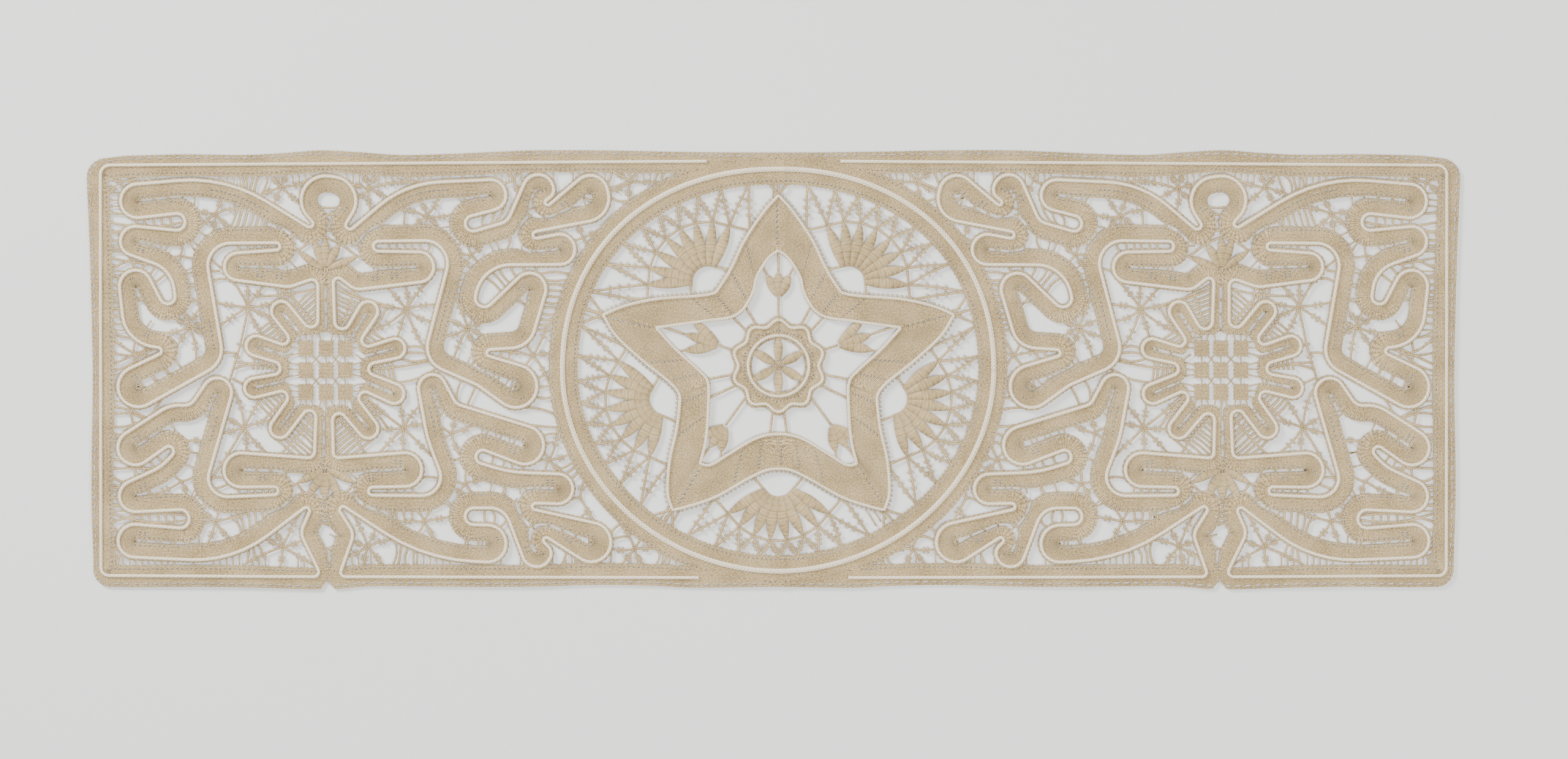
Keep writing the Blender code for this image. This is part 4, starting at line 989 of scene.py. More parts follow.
# %% [markdown]
# ## Tubes for cords, plaits and leaves
#
# A plait, a gimp, a woven leaf and a picot loop are all the same shape to a modeller: a tube with a
# flattened section along a path. One function makes thousands of them at once as arrays. A Blender
# curve with a bevel would do the same, but would not keep the weave attribute that the finish reads.

# %% Tubes


def tubes(paths, wide, high, lift, sides=6, closed=False):
    """Tubes along n paths of k points, given as an array (n, k, 2).

    A point is path + wide*cos(a)*normal, at the height lift + high*sin(a). The angle a starts
    under the tube, so that its seam is out of sight. Half widths, half heights and lifts may be
    numbers or arrays (n, k).
    """
    n, k = paths.shape[:2]
    if closed:
        ahead = np.roll(paths, -1, 1) - np.roll(paths, 1, 1)
        stretch = np.hypot(*np.moveaxis(np.roll(paths, -1, 1) - paths, 2, 0))[:, :-1]
    else:
        ahead = np.gradient(paths, axis=1)
        stretch = np.hypot(*np.moveaxis(np.diff(paths, axis=1), 2, 0))
    ahead = ahead / np.maximum(np.linalg.norm(ahead, axis=2, keepdims=True), 1e-9)
    normal = np.stack([-ahead[..., 1], ahead[..., 0]], -1)[:, :, None]
    run = np.concatenate([np.zeros((n, 1)), np.cumsum(stretch, 1)], 1)
    a = -pi / 2 + (np.arange(sides) + 0.5) * 2 * pi / sides
    wide, high, lift = (np.broadcast_to(value, (n, k))[..., None] for value in (wide, high, lift))
    points = paths[:, :, None] + (wide * np.cos(a))[..., None] * normal
    height = lift + high * np.sin(a)
    around = np.broadcast_to((np.arange(sides) + 0.5) * 2 / sides, height.shape)
    weave = np.stack([np.broadcast_to(run[..., None], height.shape), around], -1)
    number = np.arange(n * k * sides).reshape(n, k, sides)
    ahead_number = np.roll(number, -1, 1) if closed else number[:, 1:]
    number = number if closed else number[:, :-1]
    faces = np.stack([number, np.roll(number, -1, 2), np.roll(ahead_number, -1, 2), ahead_number], -1)
    faces = faces.reshape(-1, 4)
    if not closed:
        fans = [(0, j, j + 1, j + 2) for j in range(1, sides - 2, 2)]
        start = np.arange(n)[:, None, None] * k * sides + np.array(fans)[:, ::-1]
        end = (np.arange(n)[:, None, None] * k + k - 1) * sides + np.array(fans)
        faces = np.vstack([faces, start.reshape(-1, 4), end.reshape(-1, 4)])
    return points.reshape(-1, 2), height.ravel(), faces, weave.reshape(-1, 2)


def rings(centres, radius, thick, lift):
    """Small loops of thread, each a closed tube of seven steps round its centre."""
    t = np.arange(7) * 2 * pi / 7
    circle = np.c_[np.cos(t), np.sin(t)]
    return tubes(centres[:, None] + radius * circle, thick, thick, lift, 4, True)


def straight(starts, ends, steps, bow=0.0):
    """Paths from starts to ends with a slight bow: start + t*(end-start) + bow*sin(pi t)*normal."""
    t = np.linspace(0, 1, steps + 1)[:, None]
    reach = ends - starts
    across = np.stack([-reach[:, 1], reach[:, 0]], -1)
    amount = chance.uniform(-bow, bow, (len(starts), 1, 1)) if bow else 0.0
    return starts[:, None] + t * reach[:, None] + amount * np.sin(pi * t) * across[:, None]


def heading(degrees):
    """Unit vectors of directions in degrees."""
    turn = np.radians(degrees)
    return np.stack([np.cos(turn), np.sin(turn)], -1)


# %% [markdown]
# ## Gimps
#
# The cream cord of the scrolls is soft and nearly smooth. The ring's is a plait of three strands, and
# those on the star and the flower are two strands twisted, so their strands are modelled: each swings
# from side to side and up and down as it goes along.

# %% Lay the gimps


def strands(line, count, swing, rise, pitch, step):
    """Paths and lifts of the strands of a twist or plait along a line.

    Strand j is off to the side by swing*sin(w) and up by rise*cos(m*w), with w = 2 pi s/pitch + 2 pi j/count.
    In a twist m is 1, and in a plait of three it is 2: its strands go over and under twice for each swing.
    """
    turns = round(line.length / pitch)
    s = np.linspace(0, line.length, round(line.length / step), endpoint=False)
    w = 2 * pi * s * turns / line.length + 2 * pi * np.arange(count)[:, None] / count
    paths = line.at(np.broadcast_to(s, w.shape), swing * np.sin(w))
    return paths, rise * np.cos((2 if count == 3 else 1) * w)


GIMP_LIFT = 1.45


def even_path(points, step):
    """An open path in even steps."""
    line = Line(points, step=step)
    return line.p[None]


for side, sign in (("left", 1), ("right", -1)):
    cord = tubes(even_path(scroll_cord * (sign, 1), 1.2), 0.85, 0.6, GIMP_LIFT)
    piece = new_piece(f"scroll_cord_{side}", *cord, soft_cord, "gimp_cord")
    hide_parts(f"scroll_gimp_{side}")

paths, rise = strands(ring_line, 3, 0.95, 0.28, 5.2, 0.6)
piece = new_piece("ring_plait", *tubes(paths, 0.55, 0.42, 1.62 + rise, closed=True), soft_cord, "gimp_cord")
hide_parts("ring_gimp")

twists = {
    "star_gimp_outer": Line(star_outer, closed=True), "star_gimp_inner": Line(star_inner, closed=True),
    "flower_gimp_outer": Line(flower_edge(FLOWER_RADIUS - 1.0, FLOWER_WAVE), closed=True),
    "flower_gimp_inner": Line(flower_edge(FLOWER_HOLE + 1.0, 0.0), closed=True),
}
for node, line in twists.items():
    paths, rise = strands(line, 2, 0.42, 0.3, 2.9, 0.55)
    cord = tubes(paths, 0.5, 0.45, 1.5 + rise, closed=True)
    piece = new_piece(node.replace("gimp", "twist"), *cord, twisted_cord, "gimp_cord")
    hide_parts(node)

# %% [markdown]
# ## Leaves
#
# A woven leaf is a tally: one thread goes to and fro round three or four others and is pulled tight at
# both ends. It is thick, so it is a flattened tube whose half width swells and closes along its length.

# %% Weave the leaves
# Fans between the arms: direction in degrees, centre x, y
FANS = [(126, -33.5, 45.5), (198, -55.5, -14.5), (270, 2.5, -56.5)]
# Clusters in the corners: direction in degrees, base x, y, length
CLUSTERS = [(90, 2.5, 37.5, 13), (162, -28.0, 13.0, 18), (234, -24.5, -28.0, 14)]
# Leaves over and under the rosettes: base x, y, tip x, y, width
CALYX = [
    (-230.0, 52.0, -242.5, 61.0, 3.5), (-229.5, 53.0, -234.5, 67.0, 4.0),
    (-228.6, 53.0, -228.6, 68.0, 4.5), (-227.5, 53.0, -221.0, 65.0, 4.0),
    (-227.0, 52.0, -212.0, 58.0, 3.5), (-230.0, -50.5, -243.0, -57.5, 3.5),
    (-229.8, -52.0, -238.0, -65.0, 4.0), (-229.0, -52.0, -229.0, -66.5, 4.5),
    (-228.0, -52.0, -221.0, -65.0, 4.0), (-227.6, -50.5, -213.0, -57.5, 3.5),
]
FAN_LEAVES, FAN_HALF_STEP, FAN_BASE, FAN_TIP, FAN_FOOT_STEP = 8, 8.2, 8.3, 30.5, 14.8


def both_sides(table):
    """Rows of direction, x, y, ... with their mirror images across the star's axis."""
    rows = list(table)
    for direction, x, y, *rest in table:
        if abs(x - STAR_AXIS) > 1:
            rows.append((180 - direction, 2 * STAR_AXIS - x, y, *rest))
    return rows


bases, tips, widths = [], [], []
for direction, x, y in both_sides(FANS):
    ways = heading(direction + (2 * np.arange(FAN_LEAVES) - FAN_LEAVES + 1) * FAN_HALF_STEP)
    bases.append((x, y) + FAN_BASE * ways)
    tips.append((x, y) + FAN_TIP * ways)
    widths += [5.9] * FAN_LEAVES
for direction, x, y, length in both_sides(CLUSTERS):
    ways = heading(direction + np.array((-27, 0, 27)))
    bases.append((x, y) + 0.8 * ways)
    tips.append((x, y) + length * ways)
    widths += [5.6] * 3
ways = heading(90 + 60 * np.arange(6))
bases.append(FLOWER_CENTRE + 2.5 * ways)
tips.append(FLOWER_CENTRE + (FLOWER_HOLE + 0.5) * ways)
widths += [5.0] * 6
calyx = np.array(CALYX)
for sign in (1, -1):
    bases.append(calyx[:, :2] * (sign, 1))
    tips.append(calyx[:, 2:4] * (sign, 1))
    widths += list(1.2 * calyx[:, 4])
bases, tips, widths = np.vstack(bases), np.vstack(tips), np.array(widths)


def leaves(starts, ends, wide):
    """Tubes blunt at the base and pointed at the tip.

    The half width is wide/2 * sin(pi*(0.12 + 0.88*t**1.12))**0.7.
    """
    t = np.linspace(0, 1, 15)
    swell = np.maximum(np.sin(pi * (0.12 + 0.88 * t ** 1.12)), 0.03) ** 0.7
    paths = straight(starts, ends, 14, 0.02)
    return tubes(paths, wide[:, None] / 2 * swell, 0.2 + 0.45 * swell, 1.05, 8)


new_piece("woven_leaves", *leaves(bases, tips, widths), leaf_weave, "linen_ground")
t = np.linspace(0, 1, 60)[:, None, None]
side = np.linspace(-1.8, 1.8, 19)[:, None, None, None]
reach = tips - bases
across = np.stack([-reach[:, 1], reach[:, 0]], -1) / np.hypot(*reach.T)[:, None]
stencil.mark((bases + t * reach + side * np.sin(pi * t) * across).reshape(-1, 2))

# %% [markdown]
# ## Rosettes
#
# Inside each ring of lobes lie nine small cloth squares, three by three, where a worker crossed the
# bundles of threads of two tapes. Loose threads run between them and out to the tapes.

# %% Work the rosettes
ROSETTE_X, ROSETTE_Y = (-238.4, -228.2, -218.5), (11.2, 0.2, -10.9)
ROSETTE_CELL = (4.0, 4.25)


def squares_of_cloth(sign):
    """Nine squares of 8 by 8 faces. Their edge points go in and out by turns, which makes them jagged."""
    g = np.arange(9) / 4 - 1
    x, y = np.meshgrid(g, g, indexing="ij")
    notch = 1 - 0.12 * ((np.arange(9)[:, None] + np.arange(9)) % 2) * (np.maximum(abs(x), abs(y)) == 1)
    centres = np.array([(cx, cy) for cx in ROSETTE_X for cy in ROSETTE_Y])
    points = centres[:, None, None] + np.stack([x * notch, y * notch], -1) * ROSETTE_CELL
    number = np.arange(len(centres) * 81).reshape(-1, 9, 9)
    faces = np.stack([number[:, :-1, :-1], number[:, 1:, :-1], number[:, 1:, 1:], number[:, :-1, 1:]], -1)
    points = points.reshape(-1, 2)
    part = points, np.full(number.size, 0.55), faces.reshape(-1, 4), points
    return part if sign > 0 else mirror(part)


rosettes = gather([squares_of_cloth(1), squares_of_cloth(-1)])
new_piece("rosette_cloth", *rosettes, cloth, "linen_ground", THICKNESS, False)
grid = np.stack(np.meshgrid(np.linspace(-3.7, 3.7, 40), np.linspace(-3.6, 3.6, 40)), -1).reshape(-1, 2)
for x in ROSETTE_X:
    for y in ROSETTE_Y:
        stencil.mark_both(grid + (x, y))

# %% [markdown]
# ## Plaits, spiders and picots
#
# Everything left open is held together by plaits of four threads. A spider is a spot where several of
# them meet. Bars are short plaits between two tapes. A picot is a small loop on a plait's side.

# %% Plaits of the panels
# Spiders: hub x, y, headings of the legs in degrees
SPIDERS = [
    (-333.2, 96.0, (15, 100, 165, 225, 290)),
    (-251.0, 93.5, (15, 70, 128, 200, 245, 318)),
    (-284.6, 80.0, (12, 62, 170, 222, 262, 318)),
    (-302.5, 58.5, (80, 190, 260, 350)),
    (-298.0, 22.0, (22, 62, 105, 148, 192, 236, 282, 332)),
    (-268.0, 32.5, (12, 52, 92, 128, 172, 214, 256, 296, 338)),
    (-270.0, -29.0, (15, 60, 105, 150, 195, 238, 275, 312)),
    (-299.0, -36.0, (0, 180)),
    (-302.0, -56.5, (20, 140, 205, 290)),
    (-284.5, -77.0, (15, 75, 140, 190, 250, 310)),
    (-250.5, -90.0, (20, 62, 110, 155, 205, 262, 330)),
    (-334.0, -95.0, (40, 150, 260)),
    (-206.5, 92.5, (8, 60, 110, 165, 222, 275, 335)),
    (-177.0, 78.5, (5, 55, 110, 165, 215, 268, 320)),
    (-154.0, 58.8, (40, 110, 175, 235, 310)),
    (-132.5, 97.0, (55, 120, 200, 285)),
    (-156.0, 21.5, (20, 65, 110, 155, 200, 245, 290, 335)),
    (-187.2, 31.0, (10, 52, 92, 130, 172, 212, 252, 295, 335)),
    (-188.5, -29.5, (12, 55, 98, 140, 182, 225, 268, 315)),
    (-164.0, -32.0, (20, 80, 150, 215, 290)),
    (-157.0, -57.5, (10, 90, 170, 240, 300)),
    (-178.0, -77.0, (10, 60, 120, 180, 240, 300)),
    (-207.0, -90.0, (15, 65, 115, 160, 205, 255, 310)),
    (-122.5, 7.5, (10, 62, 118, 172, 232, 300)),
    (-114.3, -45.5, (15, 75, 130, 185, 250, 315)),
    (-98.5, -65.0, (80, 190, 300)),
    (-73.0, 96.0, (0, 50, 100, 150, 205, 265)),
    (-71.0, -91.0, (0, 60, 120, 180, 230, 300)),
    (-97.0, 67.5, (30, 110, 200, 290)),
]
# Bars: a point x, y and the heading in degrees
BARS = [
    (-325.2, 75.8, 90), (-320.6, 75.8, 90), (-316.3, 75.8, 90), (-312, 75.8, 90), (-308, 75.8, 90),
    (-326.5, 55, 78), (-321.5, 52.6, 68), (-317.3, 49.5, 55), (-314.2, 45.8, 38),
    (-327, -75.3, 90), (-322, -75.4, 90), (-318.2, -75.4, 90), (-314.2, -75.5, 90), (-310, -75.5, 90),
    (-306.5, -75.5, 90), (-326, -51.5, 85), (-321.5, -50.3, 100), (-317, -48.6, 115), (-313, -46, 125),
    (-272.5, 63, 90), (-268, 63, 90), (-264, 63, 90), (-260, 63, 90), (-257, 63, 90), (-284, 51, 0),
    (-272.5, -61.5, 90), (-268, -61.5, 90), (-264, -61.5, 90), (-260, -61.5, 90), (-257, -61.5, 90),
    (-284, -54.5, 0), (-284, -60, 20),
    (-142, 42.5, -45), (-139.5, 45.5, -50), (-136.8, 48, -55), (-132.5, 50.5, -65), (-127.5, 52, -80),
    (-121, 52.4, 90), (-196, 63.3, 90), (-192, 63.3, 90), (-188, 63.3, 90), (-184, 63.3, 90),
    (-180, 63, 90), (-176.5, 61.5, 70), (-172, 51, 10), (-196, -61.5, 90), (-192, -61.5, 90),
    (-188, -61.5, 90), (-184, -61.5, 90), (-178, -55.0, 0),
    (-143, -46, 75), (-138, -48, 75), (-133.5, -49.6, 80), (-128, -50.3, 85),
    (-147, -74.5, 90), (-143, -74.5, 95), (-138.5, -78.5, 50),
    (-147.5, 76.5, 75), (-143.5, 77.5, 70), (-139.5, 79.5, 60),
    (-325.5, 11, 90), (-326.5, -24.8, 95), (-321, -24.3, 70), (-315, -20, 60),
    (-334, 88.3, 0), (-334, 84.5, 0), (-334, 80.5, -8), (-335, 75.6, 0), (-335, 71.5, 5),
    (-335, 66.8, 0), (-335, 62.6, 0), (-335, 57, -10), (-334, 53.5, 25), (-335, 48.5, -15),
    (-335, 44, 0), (-335, 40, 0), (-335, 36, 0), (-335, 32, 0), (-335, 28, 0), (-335, 24, 5),
    (-334, 19, -20), (-333, 14.5, -25), (-333, 9.4, 5), (-333, 5.0, 25), (-334, 1.5, 35),
    (-335, -18.5, -20), (-333, -22.8, -8), (-333, -28.0, 12), (-335, -33.5, 0), (-335.6, -38, 0),
    (-335, -42.5, 0), (-334, -46, -10), (-333, -50, 0), (-333, -55.6, -20), (-335, -60, 0),
    (-335, -64.5, 0), (-335, -69, 0), (-334, -73.2, -5), (-334, -76.8, 5), (-335, -81, 0),
    (-335.6, -86, 0), (-335, -90.6, 0),
    (-275, 78, 70), (-272, 78, 75), (-269, 78, 75), (-266, 77.5, 75), (-263, 76.5, 75),
    (-260, 76, 75), (-257, 75.5, 75), (-275, -76, 115), (-271, -76, 100), (-267.5, -76, 95),
    (-264, -76, 95), (-260.5, -75, 95), (-270, 96, 80), (-266.5, 95, 75), (-263.2, 94.2, 70),
    (-260, 93.2, 70), (-268.5, -96, 80), (-265, -95, 95), (-261.5, -94, 105),
    (-285, 45.5, 10), (-275, 8.6, 0), (-275, 0.5, 0), (-276, -4, -25),
    (-187, 96, 80), (-184, 96.5, 85), (-181, 97, 85), (-188.5, 75, 85), (-135, 66, 75), (-147, 58.5, 95),
    (-114.5, 49.2, 0), (-113.5, 46.2, 0), (-113.5, 43.3, 0), (-113.5, 40.6, 0), (-113.5, 37.6, 0),
    (-114.5, 34.6, 0), (-115, 31.8, 0), (-115.5, 29, 0), (-116, 26.3, 0), (-116.5, 23.4, 0),
    (-117, 20.2, -6), (-179, 8.6, 0), (-181, 6.0, 0), (-180, 11.5, 0), (-183, -3, 20),
    (-160, -9.5, 75), (-153.5, -12, 65), (-134, 8.2, 75), (-139, 9, 80),
    (-118, -3, 30), (-118.5, -8.5, 10), (-118, -13.6, 0), (-119, -20.5, -12), (-116, -28.5, -5),
    (-114.5, -33, 10), (-113.5, -37, 20), (-108, -49.5, 25), (-105, -52, 35), (-102.3, -54.5, 45),
    (-184, -74, 95), (-188, -74, 95), (-192, -74, 95), (-196, -73.5, 95), (-190, -93, 80),
    (-193.5, -92.5, 85), (-186.5, -94, 80), (-183, -95, 85), (-106.5, -95, 70), (-101, -98, 85),
    (-82, 88, -10), (-80, 94, 20), (-60, 97.5, 70), (-56.5, 98.5, 72), (-84, 97, 75),
    (-96, -73, 40), (-85.5, -79, 50), (-82, -82, 45), (-80, -86, 15), (-59, -95.5, 75), (-55.5, -98, 70),
    (-227, 83.3, 0), (-227, 79.5, 0), (-227, 74.9, 0), (-227, 71.5, 0),
]
# Close netting: x, y to x, y, half width
NETS = [
    (-255.5, 23.5, -250.5, 16.8, 2.2), (-263.0, 2.5, -256.0, 1.5, 2.8), (-256.0, -21.0, -250.5, -15.5, 2.3),
    (-241.0, 31.0, -236.5, 26.0, 4.0), (-251.0, 39.5, -247.0, 40.0, 2.6), (-246.0, -36.5, -237.5, -27.0, 4.2),
    (-215.5, 37.5, -220.0, 26.0, 4.0), (-203.0, 22.5, -207.0, 16.0, 2.2), (-196.0, 2.0, -203.0, 1.0, 2.6),
    (-203.0, -21.5, -208.0, -15.0, 2.3), (-212.5, -37.0, -220.5, -27.0, 4.2),
    (-229.0, 50.0, -229.0, 47.0, 3.0), (-229.0, -50.0, -229.0, -47.0, 3.0),
    (-228.8, -69.0, -228.8, -77.0, 1.5),
]
plaits, loops, threads = [], [], []


def mark_paths(paths):
    """Mark plaits on the stencil, as three lines side by side."""
    t = np.linspace(0, 1, 160)[:, None, None]
    start, end = paths[:, 0], paths[:, -1]
    reach = end - start
    across = np.stack([-reach[:, 1], reach[:, 0]], -1) / np.maximum(np.hypot(*reach.T), 1e-6)[:, None]
    for side in (-0.25, 0, 0.25):
        stencil.mark((start + t * reach + side * across).reshape(-1, 2))


def rays(starts, degrees, first=0.0, furthest=45.0, sink=0.5, least=0.8):
    """Ends of the rays from starts to the first cloth, sunk into it, and which of them are real."""
    reach = stencil.reach(starts, degrees, first, furthest)
    return starts + (reach + sink)[:, None] * heading(degrees), reach > least


def picots(paths, steps):
    """Places of picots close by both sides of each path, at some of its steps."""
    places = []
    for i in steps:
        ahead = paths[:, i + 1] - paths[:, i - 1]
        across = np.stack([-ahead[:, 1], ahead[:, 0]], -1) / np.hypot(*ahead.T)[:, None]
        places += [paths[:, i] - 1.05 * across, paths[:, i] + 1.05 * across]
    return np.vstack(places)


legs = np.array([(x, y, degrees) for x, y, headings in SPIDERS for degrees in headings], float)
ends, real = rays(legs[:, :2], legs[:, 2], 2.0)
hubs = np.array([(x, y) for x, y, headings in SPIDERS], float)
leg_paths = straight(legs[real, :2], ends[real], 6, 0.07)
long_enough = np.hypot(*(leg_paths[:, -1] - leg_paths[:, 0]).T) > 7
loops.append(picots(leg_paths[long_enough], (3, 4)))
mark_paths(leg_paths)

bars = np.array(BARS, float)
ends, real = rays(bars[:, :2], bars[:, 2], 0.0, least=0.1)
others, also = rays(bars[:, :2], bars[:, 2] + 180, 0.0, least=0.1)
bar_paths = straight(others[real & also], ends[real & also], 6, 0.12)
mark_paths(bar_paths)

rungs = []
for ax, ay, bx, by, half in NETS:
    length = hypot(bx - ax, by - ay) + 2 * half
    ux, uy = (bx - ax) / hypot(bx - ax, by - ay), (by - ay) / hypot(bx - ax, by - ay)
    turn = np.degrees(atan2(uy, ux))
    if half > 1.5:
        rungs.append((ax, ay, turn))
    for step in np.arange(-half + 0.8, length - half, 2.4):
        rungs.append((ax + step * ux, ay + step * uy, turn + 90))
rungs = np.array(rungs)
ends, real = rays(rungs[:, :2], rungs[:, 2], 0.0, least=0.1)
others, also = rays(rungs[:, :2], rungs[:, 2] + 180, 0.0, least=0.1)
net_paths = straight(others[real & also], ends[real & also], 6, 0.05)



def ladder(tape, edge, within, furthest):
    """Short bars from one edge of a tape, in line with a v within it, to the next cloth or plait."""
    u = np.arange(0, tape.count, 1.35)
    foot = tape.place(u, np.full(len(u), edge))
    ways = foot - tape.place(u, np.full(len(u), within))
    ends, real = rays(foot, np.degrees(np.arctan2(ways[:, 1], ways[:, 0])), 1.2, furthest, least=1.7)
    return straight(foot, ends, 3, 0.04)[real & (ends[:, 0] < STAR_AXIS)]


ladders = np.vstack([ladder(border_tape, 1.0, 0.9, 6.5), ladder(ring_tape, 8.2, 6.5, 10.0)])

# Bundles of threads of the rosette: between the squares, and from the outer ones to the tapes
half_x, half_y = ROSETTE_CELL
bundles, starts = [], []
for i, x in enumerate(ROSETTE_X):
    for upper, lower in zip(ROSETTE_Y[:-1], ROSETTE_Y[1:]):
        bundles.append(((x, lower + half_y - 0.3), (x, upper - half_y + 0.3)))
    for side in (-2.7, 0.0, 2.7):
        starts += [(x + side, ROSETTE_Y[0] + half_y - 0.5, 90 - 4 * side),
                   (x + side, ROSETTE_Y[-1] - half_y + 0.5, -90 + 4 * side)]
for y in ROSETTE_Y:
    for side in (-2.4, 0.3, 2.9):
        starts += [(ROSETTE_X[-1] + half_x - 0.5, y + side, 4 * side),
                   (ROSETTE_X[0] - half_x + 0.5, y + side, 180 - 4 * side)]
for left, right in zip(ROSETTE_X[:-1], ROSETTE_X[1:]):
    for upper, lower in zip(ROSETTE_Y[:-1], ROSETTE_Y[1:]):
        crossing = ((left + right) / 2, (upper + lower) / 2)
        for x in (left + half_x - 0.4, right - half_x + 0.4):
            for y in (lower + half_y - 0.4, upper - half_y + 0.4):
                bundles.append((crossing, (x, y)))
bundles = np.array(bundles)
starts = np.array(starts)
ends, real = rays(starts[:, :2], starts[:, 2], 0.9, least=1.0)
real &= np.hypot(*(ends - starts[:, :2]).T) < 9
rosette_paths = np.vstack([straight(bundles[:, 0], bundles[:, 1], 3),
                           straight(starts[real, :2], ends[real], 3, 0.04)])
print(len(leg_paths), "legs,", len(bar_paths), "bars,", len(net_paths), "netting bars in a panel")

pins = np.arange(0, scroll_tape.count, 3)
tight = np.interp(scroll_tape.along(pins), scroll_line.s, tape_room)
width = np.interp(scroll_tape.along(pins), scroll_line.s, tape_width)
facing = (tight - width < 2.3) & (width > 1.2)
pins, tight, width = pins[facing], tight[facing], width[facing]
spines = straight(scroll_line.at(scroll_tape.along(pins), width - 0.4),
                  scroll_line.at(scroll_tape.along(pins), 2 * tight - width + 0.4), 2)

both = (1, 1), (-1, 1)
panel = [np.vstack([paths * flip for flip in both]) for paths in (leg_paths, bar_paths, net_paths)]
spines = np.vstack([spines * flip for flip in both])
hubs = np.vstack([hubs * flip for flip in both])
rosette_paths = np.vstack([rosette_paths * flip for flip in both])
plait_work = gather([tubes(paths, 0.55, 0.38, 0.72) for paths in panel]
                    + [tubes(spines, 0.5, 0.3, 0.72, 4), tubes(rosette_paths, 0.45, 0.28, 0.6, 4)]
                    + [tubes(ladders * flip, 0.5, 0.32, 0.72, 4) for flip in both])
new_piece("plaits", *plait_work, plait, "linen_ground")
panel_loops = [np.vstack([places * flip for flip in both]) for places in loops]
new_piece("picots", *rings(np.vstack(panel_loops), 0.54, 0.26, 0.8), plait, "linen_ground")
new_piece("hubs", *rings(hubs, 0.75, 0.42, 0.78), plait, "linen_ground")

# %% [markdown]
# ### Fans and the flower's bars

# %% Plaits of the middle
star_plaits, star_loops = [], []
for direction, x, y in both_sides(FANS):
    spread = (2 * np.arange(FAN_LEAVES) - FAN_LEAVES + 1) * FAN_HALF_STEP
    tip = (x, y) + FAN_TIP * heading(direction + spread)
    base = (x, y) + FAN_BASE * heading(direction + spread)
    star_plaits += [straight(tip[:-1], tip[1:], 6), straight(base[:-1], base[1:], 6)]
    corners = np.stack([tip[0], tip[-1], base[0], base[-1]])
    others = np.stack([tip[1], tip[-2], base[1], base[-2]])
    ends, real = rays(corners, np.degrees(np.arctan2(*(corners - others).T[::-1])), 1.2)
    star_plaits.append(straight(corners, ends, 6)[real])
    degrees = direction + (np.arange(FAN_LEAVES + 1) - FAN_LEAVES / 2) * FAN_FOOT_STEP
    feet, _ = rays(np.broadcast_to((x, y), (FAN_LEAVES + 1, 2)).astype(float), degrees, FAN_TIP + 1.5, 90.0)
    for tops, foot in ((tip, feet[:-1]), (tip, feet[1:]), (ends[:2], feet[[0, -1]])):
        vee = straight(tops, foot, 6, 0.03)
        star_plaits.append(vee)
        star_loops.append(picots(vee, (2, 3, 4)))
for direction, x, y, length in both_sides(CLUSTERS):
    degrees = direction + np.array((-27.0, 0, 27))
    base = np.broadcast_to((x, y), (3, 2)).astype(float)
    ends, real = rays(base, degrees, length + 0.5)
    star_plaits.append(straight(base + length * heading(degrees), ends, 6)[real])
    ends, real = rays(base[:1], np.array([direction + 180.0]), 1.5)
    star_plaits.append(straight(base[:1], ends, 6)[real])
for x, y in outer_tips:
    heading_out = np.degrees(atan2(y - FLOWER_CENTRE[1], x - FLOWER_CENTRE[0]))
    ends, real = rays(np.full((3, 2), (x, y)), heading_out + np.array((-38.0, 0.0, 38.0)), 1.7, 14.0)
    star_plaits.append(straight(np.full((3, 2), (x, y)), ends, 6)[real])
degrees = np.add.outer(54 + 72.0 * np.arange(5), (-7, 7)).ravel()
starts = FLOWER_CENTRE + FLOWER_RADIUS * heading(degrees)
ends, real = rays(starts, degrees, 2.5)
star_plaits.append(straight(starts, ends, 6)[real])
for rows in (calyx[:5], calyx[5:]):
    tip, base = rows[:, 2:4], rows[:, :2]
    arch = [straight(tip[:-1], tip[1:], 6)]
    ways = np.degrees(np.arctan2(*(tip - base).T[::-1]))
    ends, real = rays(tip, ways, 0.5, 8.0)
    arch.append(straight(tip, ends, 6)[real])
    for flip in both:
        star_plaits += [paths * flip for paths in arch]
new_piece("star_plaits", *tubes(np.vstack(star_plaits), 0.58, 0.4, 0.75), plait, "linen_ground")
outer_line = twists["star_gimp_outer"]
along = np.arange(0, outer_line.length, 2.4)
star_loops.append(outer_line.at(along, -1.35))
new_piece("star_picots", *rings(np.vstack(star_loops), 0.58, 0.26, 0.95), plait, "linen_ground")
eye = FLOWER_CENTRE[None]
new_piece("flower_eye", *gather([rings(eye, r, 0.5, 0.95) for r in (0.6, 1.6, 2.6)]), plait, "linen_ground")

# %% [markdown]
# ## The cloth as sheets
#
# Each strip of cloth is listed with the flat size that it is worked to, its width and its length, and its
# area is printed. The plaits, leaves and loops, which hold the cloth together, are listed beside the border and
# the star.


def flat_area(piece):
    """Area of a piece's faces before it gets its thickness, in square metres."""
    return sum(polygon.area for polygon in piece.data.polygons)


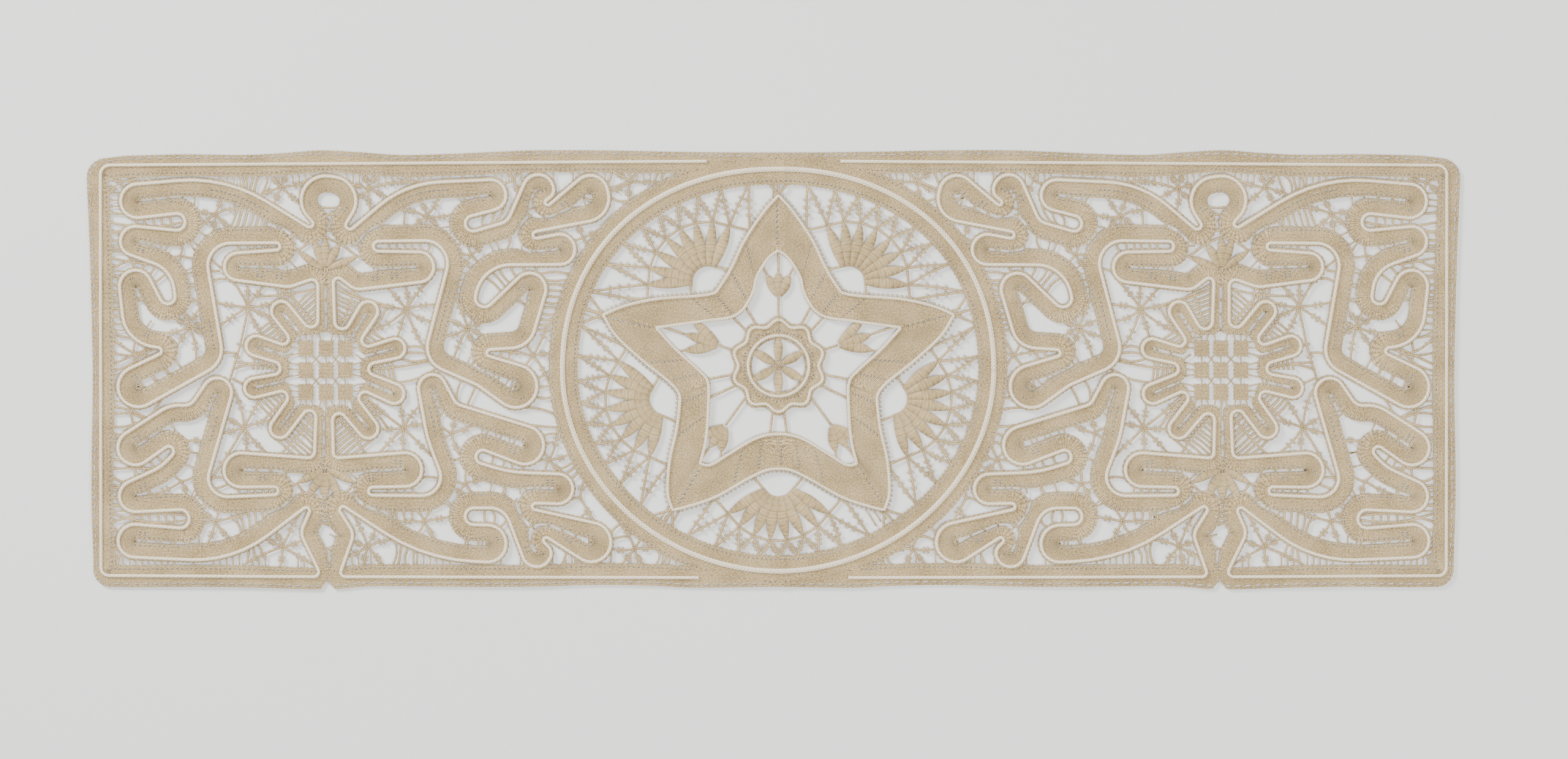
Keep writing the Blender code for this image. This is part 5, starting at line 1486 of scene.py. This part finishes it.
work_between = [pieces[name] for name in ("plaits", "picots", "hubs", "woven_leaves", "rosette_cloth")]
work_inside = [pieces[name] for name in ("star_plaits", "star_picots", "flower_eye")]
sheets = {
    "scroll_cloth_left": (0.0102, scroll_line.length * MM, []),
    "scroll_cloth_right": (0.0102, scroll_line.length * MM, []),
    "border_cloth": (0.0112, edge_line.length * MM, work_between),
    "ring_cloth": (0.0156, ring_line.length * MM, []),
    "star_cloth": (0.0168, star_band.count * STAR_PITCH * MM, work_inside),
    "flower_cloth": (0.0108, 0.119, []),
}
for name, (wide, length, others) in sheets.items():
    area = flat_area(pieces[name])
    print(f"{name}: {wide * 1000:.1f} x {length * 1000:.0f} mm, {area:.5f} square metres")

# %% [markdown]
# ## Light and camera
#
# The photo looks straight down on the lace in even light. Here soft lamps stand round it, one of them
# low at the upper left, so that cords and weave throw short shadows. A long lens keeps the sides square.

# %% Floor, lamps and camera
floor_mesh = bpy.data.meshes.new("floor")
corners = [(-3, -3, -0.0004), (3, -3, -0.0004), (3, 3, -0.0004), (-3, 3, -0.0004)]
floor_mesh.from_pydata(corners, [], [(0, 1, 2, 3)])
floor = bpy.data.objects.new("floor", floor_mesh)
collection.objects.link(floor)
pale = bpy.data.materials.new("pale_floor")
pale.use_nodes = True
pale_shader = pale.node_tree.nodes["Principled BSDF"]
pale_shader.inputs["Base Color"].default_value = (0.80, 0.80, 0.78, 1)
pale_shader.inputs["Roughness"].default_value = 0.9
floor.data.materials.append(pale)


def lamp(name, place, size, power):
    """A square soft lamp that points at the middle of the lace."""
    data = bpy.data.lights.new(name, "AREA")
    data.energy, data.size = power, size
    thing = bpy.data.objects.new(name, data)
    thing.location = place
    x, y, z = place
    thing.rotation_euler = (atan2(hypot(x, y), z), 0, atan2(-x, y) + pi) if hypot(x, y) else (0, 0, 0)
    collection.objects.link(thing)
    return thing


lamp("raking_lamp", (-1.5, 1.3, 1.0), 0.6, 75)
lamp("top_lamp", (0.4, -0.5, 2.2), 1.4, 60)
lamp("far_lamp", (1.6, -0.4, 1.4), 1.0, 14)
world = bpy.data.worlds.new("pale_room")
bpy.context.scene.world = world
world.use_nodes = True
world.node_tree.nodes["Background"].inputs["Color"].default_value = (0.95, 0.97, 1.0, 1)
world.node_tree.nodes["Background"].inputs["Strength"].default_value = 0.45

AIM = (np.array((5.3, -4.5)) - CENTRE) * MM
view = bpy.data.cameras.new("camera")
view.lens = 112.5
camera = bpy.data.objects.new("camera", view)
camera.location = (AIM[0], AIM[1], 2.5)
collection.objects.link(camera)
bpy.context.scene.camera = camera
print("camera over", np.round(AIM, 4))
